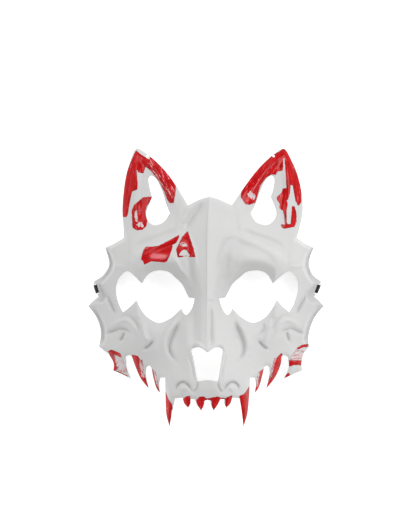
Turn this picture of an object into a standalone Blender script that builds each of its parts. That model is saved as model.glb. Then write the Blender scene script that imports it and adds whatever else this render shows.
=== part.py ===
"""A wolf skull party mask: one thin moulded shell and the flat elastic that goes round the head.

The mask lies face up on its rim, the way it rests on a table. +X runs across the face, +Y up to the
ears and +Z out of the face, with the origin on the table under the middle of the mask.

The shell is drawn as one half in a flat plan and mirrored. A place in the plan is given as a share
of half the width from the middle line, and as a share of half the height from the middle of the
mask. Depths, widths and lifts in the tables are shares of the named sizes above them.
"""

import math

import bmesh
import bpy
import numpy as np
from mathutils import Vector, geometry

# Driving dimensions in metres
MASK_WIDTH = 0.170
MASK_HEIGHT = 0.200
MASK_DEPTH = 0.066
WALL = 0.0015

# The rim that the mask rests on, and the step that climbs from it
FLANGE_WIDTH = 0.0022
STEP_WIDTH = 0.0042
TAB_LIFT = 0.0032

# The strap slot in each side tab
SLOT_LENGTH = 0.0080
SLOT_WIDTH = 0.0024
RAIL_WIDTH = 0.0013
SLOT_LAND = 0.0014

# Turned edges, eye sockets and folds
EDGE_DROP = 0.0012
EDGE_WIDTH = 0.0026
SOCKET_DROP = 0.0055
SOCKET_WIDTH = 0.0075
FOLD_HEIGHT = 0.0030
FOLD_WIDTH = 0.0040
STEEPEST_WALL = 2.2

# The small round hole in each ear tip
EAR_TIP_HOLE = 0.0016
EAR_TIP_HOLE_PLACE = (0.534, 0.946)

# The elastic
STRAP_WIDTH = 0.0062
STRAP_THICKNESS = 0.0006
CLEARANCE = 0.0003
STITCHED_END = 0.0032

# Size of the facets, inside a piece, along its edges and along the elastic
FACET = 0.0031
EDGE_FACET = 0.0027
STRAP_FACET = 0.0028

# Share of FACET kept between the grid and any line that facets follow
GRID_GAP = 0.5

# Share of half the height kept between the middle ridge and the edges it runs to
RIDGE_INSET = 0.01

# Share of a fold's height that is left at its ends, and of its length that each end tapers over
FOLD_END = 0.25

# The half outline from the forehead round the ear, the spikes and the teeth to the gum. rim is how
# far the edge comes down to the table, flange is a share of FLANGE_WIDTH, lift a share of TAB_LIFT,
# and tab is 1 where the flange widens to hold the slot.
OUTLINE = (
    # name, across, along, turn, rim, flange, lift, tab
    ("forehead_peak", 0.000, 0.653, "curve", 0, 0, 0, 0),
    ("forehead_shoulder", 0.078, 0.634, "curve", 0, 0, 0, 0),
    ("forehead_end", 0.136, 0.611, "curve", 0, 0, 0, 0),
    ("ear_root", 0.186, 0.591, "corner", 0, 0, 0, 0),
    ("ear_inner_low", 0.281, 0.718, "curve", 0, 0, 0, 0),
    ("ear_inner_middle", 0.396, 0.848, "curve", 0, 0, 0, 0),
    ("ear_inner_high", 0.531, 0.957, "curve", 0, 0, 0, 0),
    ("ear_tip", 0.624, 1.000, "curve", 0, 0, 0, 0),
    ("ear_outer_high", 0.683, 0.914, "curve", 0, 0, 0, 0),
    ("ear_outer_upper", 0.736, 0.776, "curve", 0, 0, 0, 0),
    ("ear_outer_middle", 0.765, 0.566, "curve", 0, 0, 0, 0),
    ("ear_outer_low", 0.748, 0.440, "curve", 0, 0, 0, 0),
    ("temple_corner", 0.732, 0.357, "corner", 0.3, 0, 2.5, 0),
    ("temple_edge", 0.822, 0.311, "curve", 0.9, 0, 2.0, 0),
    ("upper_spike", 0.886, 0.286, "corner", 1, 0, 1.5, 0),
    ("upper_scallop", 0.858, 0.219, "curve", 1, 0.7, 0, 0),
    ("scallop_middle", 0.850, 0.158, "curve", 1, 1, 0, 0),
    ("scallop_low", 0.890, 0.089, "curve", 1, 1, 1, 0),
    ("tab_top", 0.964, 0.044, "corner", 1, 1, 1, 1),
    ("tab_side", 0.956, -0.001, "curve", 1, 1, 1, 1),
    ("tab_foot", 0.917, -0.067, "corner", 1, 1, 1, 1),
    ("side_spike_edge", 0.965, -0.101, "curve", 1, 0, 1.2, 0),
    ("side_spike", 1.000, -0.135, "corner", 1, 0, 1.2, 0),
    ("lower_scallop_high", 0.933, -0.208, "curve", 1, 0.7, 0, 0),
    ("lower_scallop", 0.892, -0.294, "curve", 1, 1, 0, 0),
    ("lower_scallop_low", 0.883, -0.374, "curve", 1, 1, 0, 0),
    ("lower_spike", 0.894, -0.427, "corner", 1, 0, 1.0, 0),
    ("blade_root", 0.825, -0.482, "corner", 0.5, 0, 2.0, 0),
    ("blade_outer", 0.797, -0.551, "curve", 0, 0, 0, 0),
    ("blade_heel", 0.802, -0.600, "corner", 0, 0, 0, 0),
    ("blade_foot", 0.737, -0.622, "curve", 0, 0, 0, 0),
    ("blade_tip", 0.649, -0.656, "corner", 0, 0, 0, 0),
    ("blade_inner", 0.686, -0.576, "curve", 0, 0, 0, 0),
    ("first_gap_outer", 0.687, -0.500, "corner", 0, 0, 0, 0),
    ("first_gap_top", 0.659, -0.488, "curve", 0, 0, 0, 0),
    ("first_gap_inner", 0.635, -0.495, "corner", 0, 0, 0, 0),
    ("first_tooth_side", 0.618, -0.555, "curve", 0, 0, 0, 0),
    ("first_tooth_low", 0.566, -0.656, "curve", 0, 0, 0, 0),
    ("first_tooth_tip", 0.497, -0.728, "corner", 0, 0, 0, 0),
    ("first_tooth_inner", 0.522, -0.627, "curve", 0, 0, 0, 0),
    ("second_gap_outer", 0.519, -0.572, "corner", 0, 0, 0, 0),
    ("second_gap_top", 0.497, -0.562, "curve", 0, 0, 0, 0),
    ("second_gap_inner", 0.476, -0.575, "corner", 0, 0, 0, 0),
    ("second_tooth_side", 0.464, -0.627, "curve", 0, 0, 0, 0),
    ("second_tooth_low", 0.429, -0.728, "curve", 0, 0, 0, 0),
    ("second_tooth_tip", 0.400, -0.757, "corner", 0, 0, 0, 0),
    ("second_tooth_inner", 0.408, -0.699, "curve", 0, 0, 0, 0),
    ("third_gap_outer", 0.400, -0.648, "corner", 0, 0, 0, 0),
    ("third_gap_inner", 0.358, -0.646, "corner", 0, 0, 0, 0),
    ("canine_side", 0.353, -0.779, "curve", 0, 0, 0, 0),
    ("canine_low", 0.342, -0.909, "curve", 0, 0, 0, 0),
    ("canine_tip", 0.312, -1.000, "corner", 0, 0, 0, 0),
    ("canine_inner", 0.292, -0.888, "curve", 0, 0, 0, 0),
    ("canine_root", 0.272, -0.795, "corner", 0, 0, 0, 0),
    ("gum_side", 0.237, -0.791, "curve", 0, 0, 0, 0),
    ("outer_incisor_root", 0.209, -0.788, "corner", 0, 0, 0, 0),
    ("outer_incisor_side", 0.194, -0.830, "curve", 0, 0, 0, 0),
    ("outer_incisor_tip", 0.161, -0.860, "corner", 0, 0, 0, 0),
    ("outer_incisor_inner", 0.143, -0.830, "curve", 0, 0, 0, 0),
    ("outer_incisor_gum", 0.142, -0.798, "corner", 0, 0, 0, 0),
    ("inner_incisor_root", 0.108, -0.798, "corner", 0, 0, 0, 0),
    ("inner_incisor_side", 0.087, -0.837, "curve", 0, 0, 0, 0),
    ("inner_incisor_tip", 0.053, -0.880, "corner", 0, 0, 0, 0),
    ("inner_incisor_inner", 0.032, -0.844, "curve", 0, 0, 0, 0),
    ("inner_incisor_gum", 0.025, -0.809, "corner", 0, 0, 0, 0),
    ("gum_middle", 0.000, -0.803, "curve", 0, 0, 0, 0),
)

# The hole in each ear
EAR_HOLE = (
    # name, across, along, turn, drop
    ("top", 0.508, 0.805, "curve", 0.2),
    ("top_outer", 0.531, 0.788, "curve", 0.2),
    ("outer_high", 0.525, 0.718, "curve", 0.2),
    ("notch", 0.503, 0.651, "corner", 0.2),
    ("outer_middle", 0.534, 0.588, "curve", 0.2),
    ("outer_low", 0.553, 0.528, "curve", 0.2),
    ("bottom_outer", 0.529, 0.477, "curve", 0.2),
    ("bottom", 0.475, 0.448, "curve", 0.2),
    ("bottom_inner", 0.390, 0.472, "curve", 0.2),
    ("inner_corner", 0.341, 0.535, "corner", 0.2),
    ("inner_low", 0.376, 0.595, "curve", 0.2),
    ("inner_high", 0.420, 0.704, "curve", 0.2),
    ("inner_top", 0.470, 0.783, "curve", 0.2),
)

# The eye, with its thorns above and below. drop is how far the socket's edge falls in, as a share
# of SOCKET_DROP.
EYE_HOLE = (
    # name, across, along, turn, drop
    ("inner_corner", 0.105, -0.079, "corner", 0.3),
    ("tear_top", 0.155, -0.072, "corner", 0.6),
    ("inner_side", 0.182, -0.027, "curve", 0.9),
    ("inner_high", 0.214, 0.024, "curve", 1.0),
    ("brow_inner", 0.275, 0.073, "curve", 1.0),
    ("brow_corner", 0.333, 0.112, "curve", 1.0),
    ("brow", 0.438, 0.120, "curve", 1.0),
    ("brow_outer", 0.503, 0.094, "curve", 1.0),
    ("upper_thorn", 0.555, 0.028, "corner", 0.6),
    ("outer_lobe_inner", 0.623, 0.084, "curve", 0.4),
    ("outer_lobe_top", 0.685, 0.116, "curve", 0.3),
    ("outer_lobe_high", 0.744, 0.077, "curve", 0.3),
    ("outer_lobe_side", 0.771, 0.002, "curve", 0.3),
    ("outer_lobe_low", 0.745, -0.112, "curve", 0.3),
    ("outer_lobe_foot", 0.705, -0.179, "corner", 0.2),
    ("lower_lobe_edge", 0.648, -0.140, "curve", 0.1),
    ("lower_thorn", 0.593, -0.090, "corner", 0.0),
    ("cheek_high", 0.553, -0.157, "curve", 0.2),
    ("cheek_low", 0.495, -0.215, "curve", 0.3),
    ("cheek_bottom", 0.400, -0.254, "curve", 0.3),
    ("cheek_inner", 0.301, -0.218, "curve", 0.3),
    ("inner_thorn", 0.214, -0.151, "corner", 0.0),
    ("tear_outer", 0.198, -0.182, "curve", 0.3),
    ("tear_bottom", 0.175, -0.196, "curve", 0.4),
    ("tear_inner", 0.143, -0.171, "curve", 0.4),
    ("bridge_side", 0.115, -0.118, "curve", 0.4),
)

# Half of the nose hole, from its notch down to the middle of its foot
NOSE_HOLE = (
    # name, across, along, turn, drop
    ("notch", 0.000, -0.464, "corner", 0.2),
    ("lobe_inner", 0.039, -0.439, "curve", 0.2),
    ("lobe_top", 0.075, -0.427, "curve", 0.2),
    ("lobe_outer", 0.131, -0.446, "curve", 0.2),
    ("side_high", 0.122, -0.493, "curve", 0.2),
    ("side_low", 0.104, -0.587, "curve", 0.2),
    ("foot", 0.085, -0.671, "corner", 0.2),
    ("foot_inner", 0.051, -0.664, "curve", 0.2),
    ("foot_middle", 0.000, -0.659, "curve", 0.2),
)

# The general form. Each row is a cut across the mask, with its height above the table at the
# places across in SECTION_ACROSS, as shares of MASK_DEPTH. The middle of a row may be a sharp ridge.
SECTION_ACROSS = (0.0, 0.06, 0.13, 0.22, 0.34, 0.46, 0.58, 0.70, 0.82, 0.94)
SECTIONS = (
    # name, along, heights
    ("ear_tips", 0.99, (0.33, 0.33, 0.33, 0.33, 0.32, 0.31, 0.28, 0.26, 0.22, 0.18)),
    ("ear_middles", 0.80, (0.48, 0.48, 0.47, 0.46, 0.42, 0.38, 0.35, 0.30, 0.24, 0.18)),
    ("forehead_edge", 0.65, (0.62, 0.60, 0.57, 0.52, 0.46, 0.41, 0.36, 0.30, 0.23, 0.16)),
    ("forehead", 0.54, (0.66, 0.63, 0.60, 0.55, 0.49, 0.44, 0.38, 0.31, 0.22, 0.14)),
    ("ear_roots", 0.43, (0.69, 0.66, 0.63, 0.59, 0.54, 0.49, 0.42, 0.33, 0.22, 0.13)),
    ("temples", 0.31, (0.71, 0.68, 0.65, 0.63, 0.60, 0.56, 0.48, 0.37, 0.24, 0.12)),
    ("brows", 0.21, (0.73, 0.70, 0.67, 0.66, 0.66, 0.62, 0.54, 0.40, 0.26, 0.13)),
    ("eye_tops", 0.12, (0.75, 0.71, 0.66, 0.62, 0.60, 0.59, 0.53, 0.41, 0.27, 0.15)),
    ("eyes", 0.04, (0.77, 0.72, 0.63, 0.55, 0.52, 0.53, 0.49, 0.40, 0.27, 0.15)),
    ("bridge", -0.08, (0.80, 0.75, 0.62, 0.52, 0.48, 0.50, 0.48, 0.38, 0.27, 0.15)),
    ("eye_feet", -0.18, (0.85, 0.80, 0.69, 0.59, 0.54, 0.53, 0.49, 0.37, 0.25, 0.14)),
    ("cheekbones", -0.27, (0.90, 0.85, 0.76, 0.66, 0.60, 0.55, 0.48, 0.36, 0.23, 0.13)),
    ("cheeks", -0.37, (0.95, 0.91, 0.83, 0.71, 0.63, 0.56, 0.47, 0.33, 0.20, 0.12)),
    ("nose_top", -0.45, (1.00, 0.97, 0.88, 0.76, 0.66, 0.56, 0.44, 0.30, 0.18, 0.12)),
    ("nose_side", -0.56, (1.00, 0.98, 0.92, 0.81, 0.69, 0.53, 0.38, 0.26, 0.16, 0.11)),
    ("nose_foot", -0.67, (0.97, 0.97, 0.94, 0.86, 0.71, 0.50, 0.34, 0.22, 0.14, 0.10)),
    ("gum", -0.79, (0.92, 0.92, 0.91, 0.85, 0.70, 0.48, 0.30, 0.19, 0.12, 0.09)),
    ("fang_tips", -1.00, (0.82, 0.82, 0.82, 0.77, 0.64, 0.42, 0.25, 0.15, 0.09, 0.06)),
)

# Ridges, and grooves where the height is negative. height is a share of FOLD_HEIGHT at the middle of
# the fold, width a share of FOLD_WIDTH to each side, and places are (across, along) on the half.
FOLDS = (
    # name, height, width,
    #     places
    ("muzzle_groove", -1.1, 0.9,
        ((0.229, -0.229), (0.277, -0.331), (0.310, -0.403), (0.310, -0.461), (0.257, -0.540))),
    ("muzzle_ridge", 0.6, 1.0,
        ((0.220, -0.164), (0.271, -0.237), (0.326, -0.316), (0.360, -0.403), (0.360, -0.475))),
    ("nasal_valley", -0.7, 1.2,
        ((0.076, -0.114), (0.073, -0.251), (0.073, -0.381))),
    ("nasal_bulge", 0.6, 1.6,
        ((0.136, -0.121), (0.169, -0.222), (0.178, -0.338), (0.169, -0.454), (0.169, -0.555))),
    ("cheekbone_groove", -1.0, 0.8,
        ((0.831, -0.331), (0.775, -0.316), (0.720, -0.299), (0.669, -0.309), (0.619, -0.334))),
    ("cheekbone_ridge", 0.8, 1.2,
        ((0.797, -0.251), (0.729, -0.229), (0.669, -0.211), (0.610, -0.179))),
    ("cheek_tick", -0.8, 0.6,
        ((0.682, -0.316), (0.697, -0.356), (0.718, -0.392))),
    ("cheek_hook", -0.9, 0.7,
        ((0.443, -0.381), (0.479, -0.420), (0.525, -0.446))),
    ("cheek_ridge", 0.6, 0.9,
        ((0.517, -0.244), (0.508, -0.323), (0.470, -0.388))),
    ("cheek_slit", -0.5, 0.6,
        ((0.479, -0.251), (0.487, -0.294), (0.462, -0.338))),
    ("thorn_ridge", 0.7, 1.2,
        ((0.593, -0.099), (0.593, -0.171), (0.602, -0.237), (0.619, -0.294))),
    ("thorn_groove", -0.5, 0.5,
        ((0.597, -0.226), (0.625, -0.280))),
    ("outer_socket_groove", -0.6, 0.9,
        ((0.860, -0.020), (0.839, -0.056), (0.801, -0.128), (0.754, -0.200))),
    ("brow_crest", 1.0, 1.7,
        ((0.220, 0.371), (0.322, 0.328), (0.432, 0.295), (0.534, 0.244), (0.602, 0.169))),
    ("brow_valley", -0.6, 1.5,
        ((0.322, 0.400), (0.424, 0.367), (0.525, 0.334), (0.593, 0.310))),
    ("root_crest", 0.6, 1.3,
        ((0.220, 0.357), (0.178, 0.270), (0.140, 0.169), (0.114, 0.053), (0.105, -0.048))),
    ("forehead_groove", -0.5, 1.0,
        ((0.042, 0.624), (0.102, 0.552), (0.169, 0.465), (0.195, 0.400))),
    ("temple_groove", -0.5, 0.9,
        ((0.686, 0.371), (0.678, 0.255), (0.665, 0.132))),
    ("ear_root_ridge", 0.5, 1.0,
        ((0.246, 0.588), (0.263, 0.451), (0.280, 0.320))),
    ("plate_groove", -0.8, 0.5,
        ((0.087, -0.674), (0.093, -0.718), (0.125, -0.757))),
    ("lip_curl", -0.9, 0.5,
        ((0.263, -0.743), (0.254, -0.703), (0.212, -0.678), (0.165, -0.696), (0.136, -0.743))),
    ("curl_bump", 0.5, 0.7,
        ((0.186, -0.728), (0.203, -0.725), (0.220, -0.721))),
    ("nose_lip", 0.5, 0.6,
        ((0.153, -0.475), (0.142, -0.423), (0.097, -0.401), (0.051, -0.422), (0.000, -0.450))),
    ("nose_fold", -0.5, 0.4,
        ((0.155, -0.461), (0.155, -0.497), (0.138, -0.548), (0.126, -0.605), (0.119, -0.671))),
    ("ear_inner_ridge", 0.6, 1.0,
        ((0.610, 0.957), (0.525, 0.892), (0.449, 0.820), (0.373, 0.718), (0.314, 0.617))),
    ("ear_outer_ridge", 0.6, 1.3,
        ((0.627, 0.935), (0.644, 0.805), (0.653, 0.660), (0.644, 0.530), (0.627, 0.429))),
)

# The moulding isn't quite even: how far the middle line and the sides lean across at each height
LEAN = (
    # along, middle, side
    (1.00, 0.033, 0.038),
    (0.78, 0.033, 0.059),
    (0.60, 0.025, 0.067),
    (0.43, 0.013, 0.059),
    (0.28, 0.010, 0.032),
    (0.16, 0.010, 0.029),
    (0.02, 0.010, 0.011),
    (-0.14, 0.010, 0.000),
    (-0.31, 0.011, -0.009),
    (-0.42, 0.014, -0.019),
    (-0.54, 0.015, 0.012),
    (-0.67, 0.015, 0.012),
    (-1.00, 0.011, -0.009),
)

# The elastic's route on the table behind the face, from beside the tab to the middle line. height is
# a share of STRAP_WIDTH above the table and turn the degrees from lying flat to standing on edge.
STRAP_ROUTE = (
    # across, along, height, turn
    (0.880, 0.006, 0.26, 6),
    (0.850, 0.022, 0.34, 28),
    (0.828, 0.058, 0.50, 65),
    (0.803, 0.098, 0.56, 90),
    (0.772, 0.155, 0.56, 90),
    (0.740, 0.215, 0.56, 90),
    (0.680, 0.285, 0.56, 90),
    (0.560, 0.330, 0.56, 90),
    (0.430, 0.322, 0.56, 90),
    (0.290, 0.318, 0.56, 90),
    (0.145, 0.335, 0.56, 90),
    (0.000, 0.342, 0.56, 90),
)


def clear_scene():
    for old in list(bpy.data.objects):
        bpy.data.objects.remove(old, do_unlink=True)


def plan(across, along):
    """The place in the even plan, in metres, of shares across and along."""
    return np.stack([np.asarray(across) * MASK_WIDTH / 2, np.asarray(along) * MASK_HEIGHT / 2], axis=-1)


def hermite(knots, values, at):
    """A smooth curve through values at rising knots, read at each of the places at."""
    knots = np.asarray(knots, float)
    values = np.asarray(values, float)
    slopes = np.gradient(values, knots, axis=0)
    at = np.clip(at, knots[0], knots[-1])
    i = np.clip(np.searchsorted(knots, at) - 1, 0, len(knots) - 2)
    span = knots[i + 1] - knots[i]
    t = (at - knots[i]) / span
    if values.ndim > 1:
        t, span = t[:, None], span[:, None]
    ahead = t * t * (3 - 2 * t)
    bend = t * (1 - t) ** 2 * slopes[i] - t * t * (1 - t) * slopes[i + 1]
    return values[i] * (1 - ahead) + values[i + 1] * ahead + span * bend


def ease(t):
    """0 below 0, 1 above 1, and a smooth step between."""
    t = np.clip(t, 0, 1)
    return t * t * (3 - 2 * t)


def resample(points, facet):
    """Points about a facet apart on the smooth curve through points, whose first columns are x and y."""
    points = np.asarray(points, float)
    steps = np.linalg.norm(np.diff(points[:, :2], axis=0), axis=1)
    knots = np.concatenate([[0], np.cumsum(np.sqrt(steps))])
    count = max(1, math.ceil(steps.sum() / facet))
    if len(points) == 2:
        return np.linspace(points[0], points[1], count + 1)
    dense = hermite(knots, points, np.linspace(0, knots[-1], 40 * len(points)))
    travelled = np.concatenate([[0], np.cumsum(np.linalg.norm(np.diff(dense[:, :2], axis=0), axis=1))])
    wanted = np.linspace(0, travelled[-1], count + 1)
    return np.stack([np.interp(wanted, travelled, column) for column in dense.T], axis=1)


def half_line(rows, facet):
    """The rows of an outline's half as a line: x, y and the rows' further numbers, curved between corners."""
    table = np.array([(*plan(row[1], row[2]), *row[4:]) for row in rows])
    breaks = [0] + [i for i in range(1, len(rows) - 1) if rows[i][3] == "corner"] + [len(rows) - 1]
    runs = [resample(table[a : b + 1], facet) for a, b in zip(breaks, breaks[1:])]
    line = np.concatenate([runs[0]] + [run[1:] for run in runs[1:]])
    line[:, 2:] = np.clip(line[:, 2:], table[:, 2:].min(axis=0), table[:, 2:].max(axis=0))
    return line


def mirrored(line):
    """The same line on the other half, in the opposite order."""
    other = line[::-1].copy()
    other[:, 0] *= -1
    return other


def both_halves(half):
    """A closed loop from a half that starts and ends on the middle line."""
    return np.concatenate([half, mirrored(half)[1:-1]])


def closed_loop(rows, facet):
    """A closed loop from rows that go all the way round, beginning at a corner."""
    start = next(i for i, row in enumerate(rows) if row[3] == "corner")
    turned = rows[start:] + rows[: start + 1]
    return half_line(turned, facet)[:-1]


def slot_frame():
    """The middle of the slot in the even plan, with its direction along the rail and out across it."""
    named = {row[0]: plan(row[1], row[2]) for row in OUTLINE}
    along = named["tab_top"] - named["tab_foot"]
    along /= np.linalg.norm(along)
    out = np.array([along[1], -along[0]])
    edge = (named["tab_top"] + named["tab_foot"]) / 2 + out * np.dot(
        named["tab_side"] - (named["tab_top"] + named["tab_foot"]) / 2, out
    )
    return edge - out * (RAIL_WIDTH + SLOT_WIDTH / 2), along, out


def slot_loop():
    """The slot's outline: two straight sides and two round ends."""
    middle, along, out = slot_frame()
    radius = SLOT_WIDTH / 2
    points = []
    for end in (1, -1):
        for turn in np.linspace(-90, 90, 5):
            reach = SLOT_LENGTH / 2 - radius + radius * math.cos(math.radians(turn))
            points.append(middle + end * (along * reach + out * radius * math.sin(math.radians(turn))))
    return np.array(points)


def round_loop(centre, diameter, sides=8):
    turns = np.linspace(0, 2 * math.pi, sides, endpoint=False)
    return centre + diameter / 2 * np.stack([np.cos(turns), np.sin(turns)], axis=1)


def nearest(points, line, closed=True):
    """For each point: its distance to the line, and the line's further numbers at the nearest place."""
    ends = np.roll(line, -1, axis=0) if closed else line[1:]
    starts = line if closed else line[:-1]
    side = (ends - starts)[:, :2]
    offset = points[:, None, :] - starts[None, :, :2]
    t = np.clip((offset * side).sum(-1) / (side**2).sum(-1), 0, 1)
    gaps = np.linalg.norm(offset - t[..., None] * side, axis=-1)
    best = gaps.argmin(axis=1)
    rows = np.arange(len(points))
    share = t[rows, best][:, None]
    numbers = starts[best, 2:] * (1 - share) + ends[best, 2:] * share
    return gaps[rows, best], numbers, (best + share[:, 0]) / len(starts)


def inside(points, loop):
    """Which points a closed loop holds."""
    x, y = points[:, 0][:, None], points[:, 1][:, None]
    x0, y0 = loop[:, 0], loop[:, 1]
    x1, y1 = np.roll(x0, -1), np.roll(y0, -1)
    level = (y0 > y) != (y1 > y)
    rise = np.where(y1 == y0, 1, y1 - y0)
    crossing = level & (x < (x1 - x0) * (y - y0) / rise + x0)
    return crossing.sum(axis=1) % 2 == 1


def general_form(points):
    """Height of the sections' smooth surface."""
    across = np.abs(points[:, 0]) / (MASK_WIDTH / 2)
    along = points[:, 1] / (MASK_HEIGHT / 2)
    rows = sorted(SECTIONS, key=lambda row: row[1])
    columns = hermite(SECTION_ACROSS, np.array([row[2] for row in rows]).T, across)
    knots = np.array([row[1] for row in rows])
    heights = np.array([hermite(knots, column, at) for column, at in zip(columns, along[:, None])])
    return heights[:, 0] * MASK_DEPTH


def fold_height(points):
    """Height that the ridges and grooves add, each tapering to its two ends."""
    folded = np.abs(points * np.array([1, 0])) + points * np.array([0, 1])
    total = np.zeros(len(points))
    for _, height, width, places in FOLDS:
        line = resample(plan(*np.array(places).T), FACET)
        gap, _, share = nearest(folded, line, closed=False)
        across = np.clip(gap / (width * FOLD_WIDTH), 0, 1)
        taper = ease(share / FOLD_END) * ease((1 - share) / FOLD_END)
        bump = (1 - across) ** 2 * (1 + across)
        total += height * FOLD_HEIGHT * bump * (FOLD_END + (1 - FOLD_END) * taper)
    return total


def flat_width(flange, tab):
    """Width of the flat strip along the edge: the flange, or the tab that holds the slot."""
    return flange * FLANGE_WIDTH * (1 - tab) + tab * (RAIL_WIDTH + SLOT_WIDTH + SLOT_LAND)


def surface_heights(points, outline, holes):
    """Heights of the face's outer surface over the even plan, and the lowest that its inner one may be."""
    height = general_form(points) + fold_height(points)
    for hole in holes:
        gap, numbers, _ = nearest(points, hole)
        if numbers.shape[1]:
            height -= numbers[:, 0] * SOCKET_DROP * (1 - ease(gap / SOCKET_WIDTH))
    gap, numbers, _ = nearest(points, outline)
    rim, flange, lift, tab = numbers.T
    height -= (1 - rim) * EDGE_DROP * (1 - ease(gap / EDGE_WIDTH))
    underside = lift * TAB_LIFT
    edge = underside + WALL
    reach = (gap - flat_width(flange, tab)) / STEP_WIDTH
    height = np.maximum(height, edge)
    outer = height * (1 - rim) + rim * (edge + (height - edge) * ease(reach))
    return outer, np.where(reach < 1, rim * underside, 0)


def flange_lines(outline):
    """Lines that facets follow beside the flat strip: its inner side, and the step's middle and top."""
    side = np.roll(outline, -1, axis=0)[:, :2] - np.roll(outline, 1, axis=0)[:, :2]
    inward = np.stack([side[:, 1], -side[:, 0]], axis=1) / np.linalg.norm(side, axis=1)[:, None]
    rim, flange, _, tab = outline[:, 2:].T
    flat = flat_width(flange, tab)
    used = (flat > FLANGE_WIDTH / 2) & (rim == 1)
    runs = np.split(np.arange(len(outline)), np.flatnonzero(np.diff(used)) + 1)
    lines = []
    for depth in (flat, flat + STEP_WIDTH / 2, flat + STEP_WIDTH):
        line = outline[:, :2] + inward * depth[:, None]
        lines += [line[run] for run in runs if used[run[0]] and len(run) > 2]
    return lines


def fill_points(outline, holes, guides):
    """A staggered grid of points over the plan, clear of every edge and guide line."""
    rows = []
    row_step = FACET * math.sqrt(3) / 2
    half_rows = math.ceil(MASK_HEIGHT / 2 / row_step)
    half_columns = math.ceil(MASK_WIDTH / 2 / FACET)
    for row in range(-half_rows, half_rows + 1):
        shift = 0.5 * (row % 2)
        columns = np.arange(-half_columns, half_columns + 1) + shift
        rows.append(np.stack([columns * FACET, np.full(len(columns), row * row_step)], axis=1))
    points = np.concatenate(rows)
    points = points[inside(points, outline)]
    clear = nearest(points, outline)[0] > GRID_GAP * FACET
    for hole in holes:
        clear &= ~inside(points, hole) & (nearest(points, hole)[0] > GRID_GAP * FACET)
    for guide in guides:
        clear &= nearest(points, guide, closed=False)[0] > GRID_GAP * FACET
    return points[clear]


def guide_lines():
    """Lines that facets follow: the middle ridge and the middle of each fold, on both halves."""
    guides = []
    for upper, lower in ((OUTLINE[0][2], NOSE_HOLE[0][2]), (NOSE_HOLE[-1][2], OUTLINE[-1][2])):
        ends = np.array([upper - RIDGE_INSET, lower + RIDGE_INSET])
        guides.append(resample(plan(np.zeros(2), ends), FACET))
    for _, _, _, places in FOLDS:
        line = resample(plan(*np.array(places).T), FACET)
        guides += [line, mirrored(line)]
    return guides


def triangulate(outline, holes, guides):
    """Points and triangles that fill the outline, with facet edges along the guides."""
    points, edges = [], []
    for loop in [outline] + holes:
        first = len(points)
        points += [Vector(p[:2]) for p in loop]
        edges += [(first + i, first + (i + 1) % len(loop)) for i in range(len(loop))]
    for line in guides:
        first = len(points)
        points += [Vector(p[:2]) for p in line]
        edges += [(first + i, first + i + 1) for i in range(len(line) - 1)]
    points += [Vector(p) for p in fill_points(outline, holes, guides)]
    spots, _, faces, _, _, _ = geometry.delaunay_2d_cdt(points, edges, [], 0, 1e-6)
    spots = np.array([tuple(spot) for spot in spots])
    faces = np.array(faces)
    middles = spots[faces].mean(axis=1)
    kept = inside(middles, outline)
    for hole in holes:
        kept &= ~inside(middles, hole)
    faces = faces[kept]
    used, index = np.unique(faces, return_inverse=True)
    return spots[used], index.reshape(faces.shape)


def facing_up(points, faces):
    a, b, c = (points[faces[:, i]] for i in range(3))
    turn = (b[:, 0] - a[:, 0]) * (c[:, 1] - a[:, 1]) - (b[:, 1] - a[:, 1]) * (c[:, 0] - a[:, 0])
    faces = faces.copy()
    faces[turn < 0] = faces[turn < 0][:, ::-1]
    return faces


def wall_depth(points, faces):
    """How far below each point the inner surface lies, so that the wall keeps its thickness on slopes."""
    a, b, c = (points[faces[:, i]] for i in range(3))
    face_normals = np.cross(b - a, c - a)
    normals = np.zeros_like(points)
    for corner in range(3):
        np.add.at(normals, faces[:, corner], face_normals)
    steepness = np.linalg.norm(normals, axis=1) / np.maximum(normals[:, 2], 1e-12)
    return WALL * np.minimum(steepness, STEEPEST_WALL)


def leaned(points):
    """The even model's points moved across by the moulding's lean."""
    rows = np.array(LEAN)[::-1]
    middle, side = hermite(rows[:, 0], rows[:, 1:], points[:, 1] / (MASK_HEIGHT / 2)).T
    reach = np.minimum(np.abs(points[:, 0]) / (MASK_WIDTH / 2), 1)
    moved = points.copy()
    moved[:, 0] += (middle + (side - middle) * reach) * MASK_WIDTH / 2
    return moved


def closed_shell(points, faces, lowest):
    """Vertices and faces of the wall: the outer surface, the inner one below it, and the edges between."""
    below = points.copy()
    below[:, 2] = np.maximum(points[:, 2] - wall_depth(points, faces), lowest)
    count = len(points)
    sides = np.concatenate([faces[:, [0, 1]], faces[:, [1, 2]], faces[:, [2, 0]]])
    paired = {tuple(side) for side in sides}
    open_sides = [side for side in sides if (side[1], side[0]) not in paired]
    walls = [(b, a, a + count, b + count) for a, b in open_sides]
    return np.concatenate([points, below]), [*map(tuple, faces), *map(tuple, faces[:, ::-1] + count), *walls]


def add_object(name, vertices, faces, material, collection):
    mesh = bpy.data.meshes.new(name)
    mesh.from_pydata([tuple(v) for v in vertices], [], [tuple(int(i) for i in face) for face in faces])
    shaped = bmesh.new()
    shaped.from_mesh(mesh)
    bmesh.ops.recalc_face_normals(shaped, faces=shaped.faces)
    shaped.to_mesh(mesh)
    shaped.free()
    mesh.validate()
    mesh.shade_smooth()
    mesh.set_sharp_from_angle(angle=math.radians(40))
    mesh.materials.append(material)
    made = bpy.data.objects.new(name, mesh)
    collection.objects.link(made)
    return made


def plain_material(name, colour, roughness):
    material = bpy.data.materials.new(name)
    material.use_nodes = True
    shader = material.node_tree.nodes["Principled BSDF"]
    shader.inputs["Base Color"].default_value = (*colour, 1)
    shader.inputs["Roughness"].default_value = roughness
    return material


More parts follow.
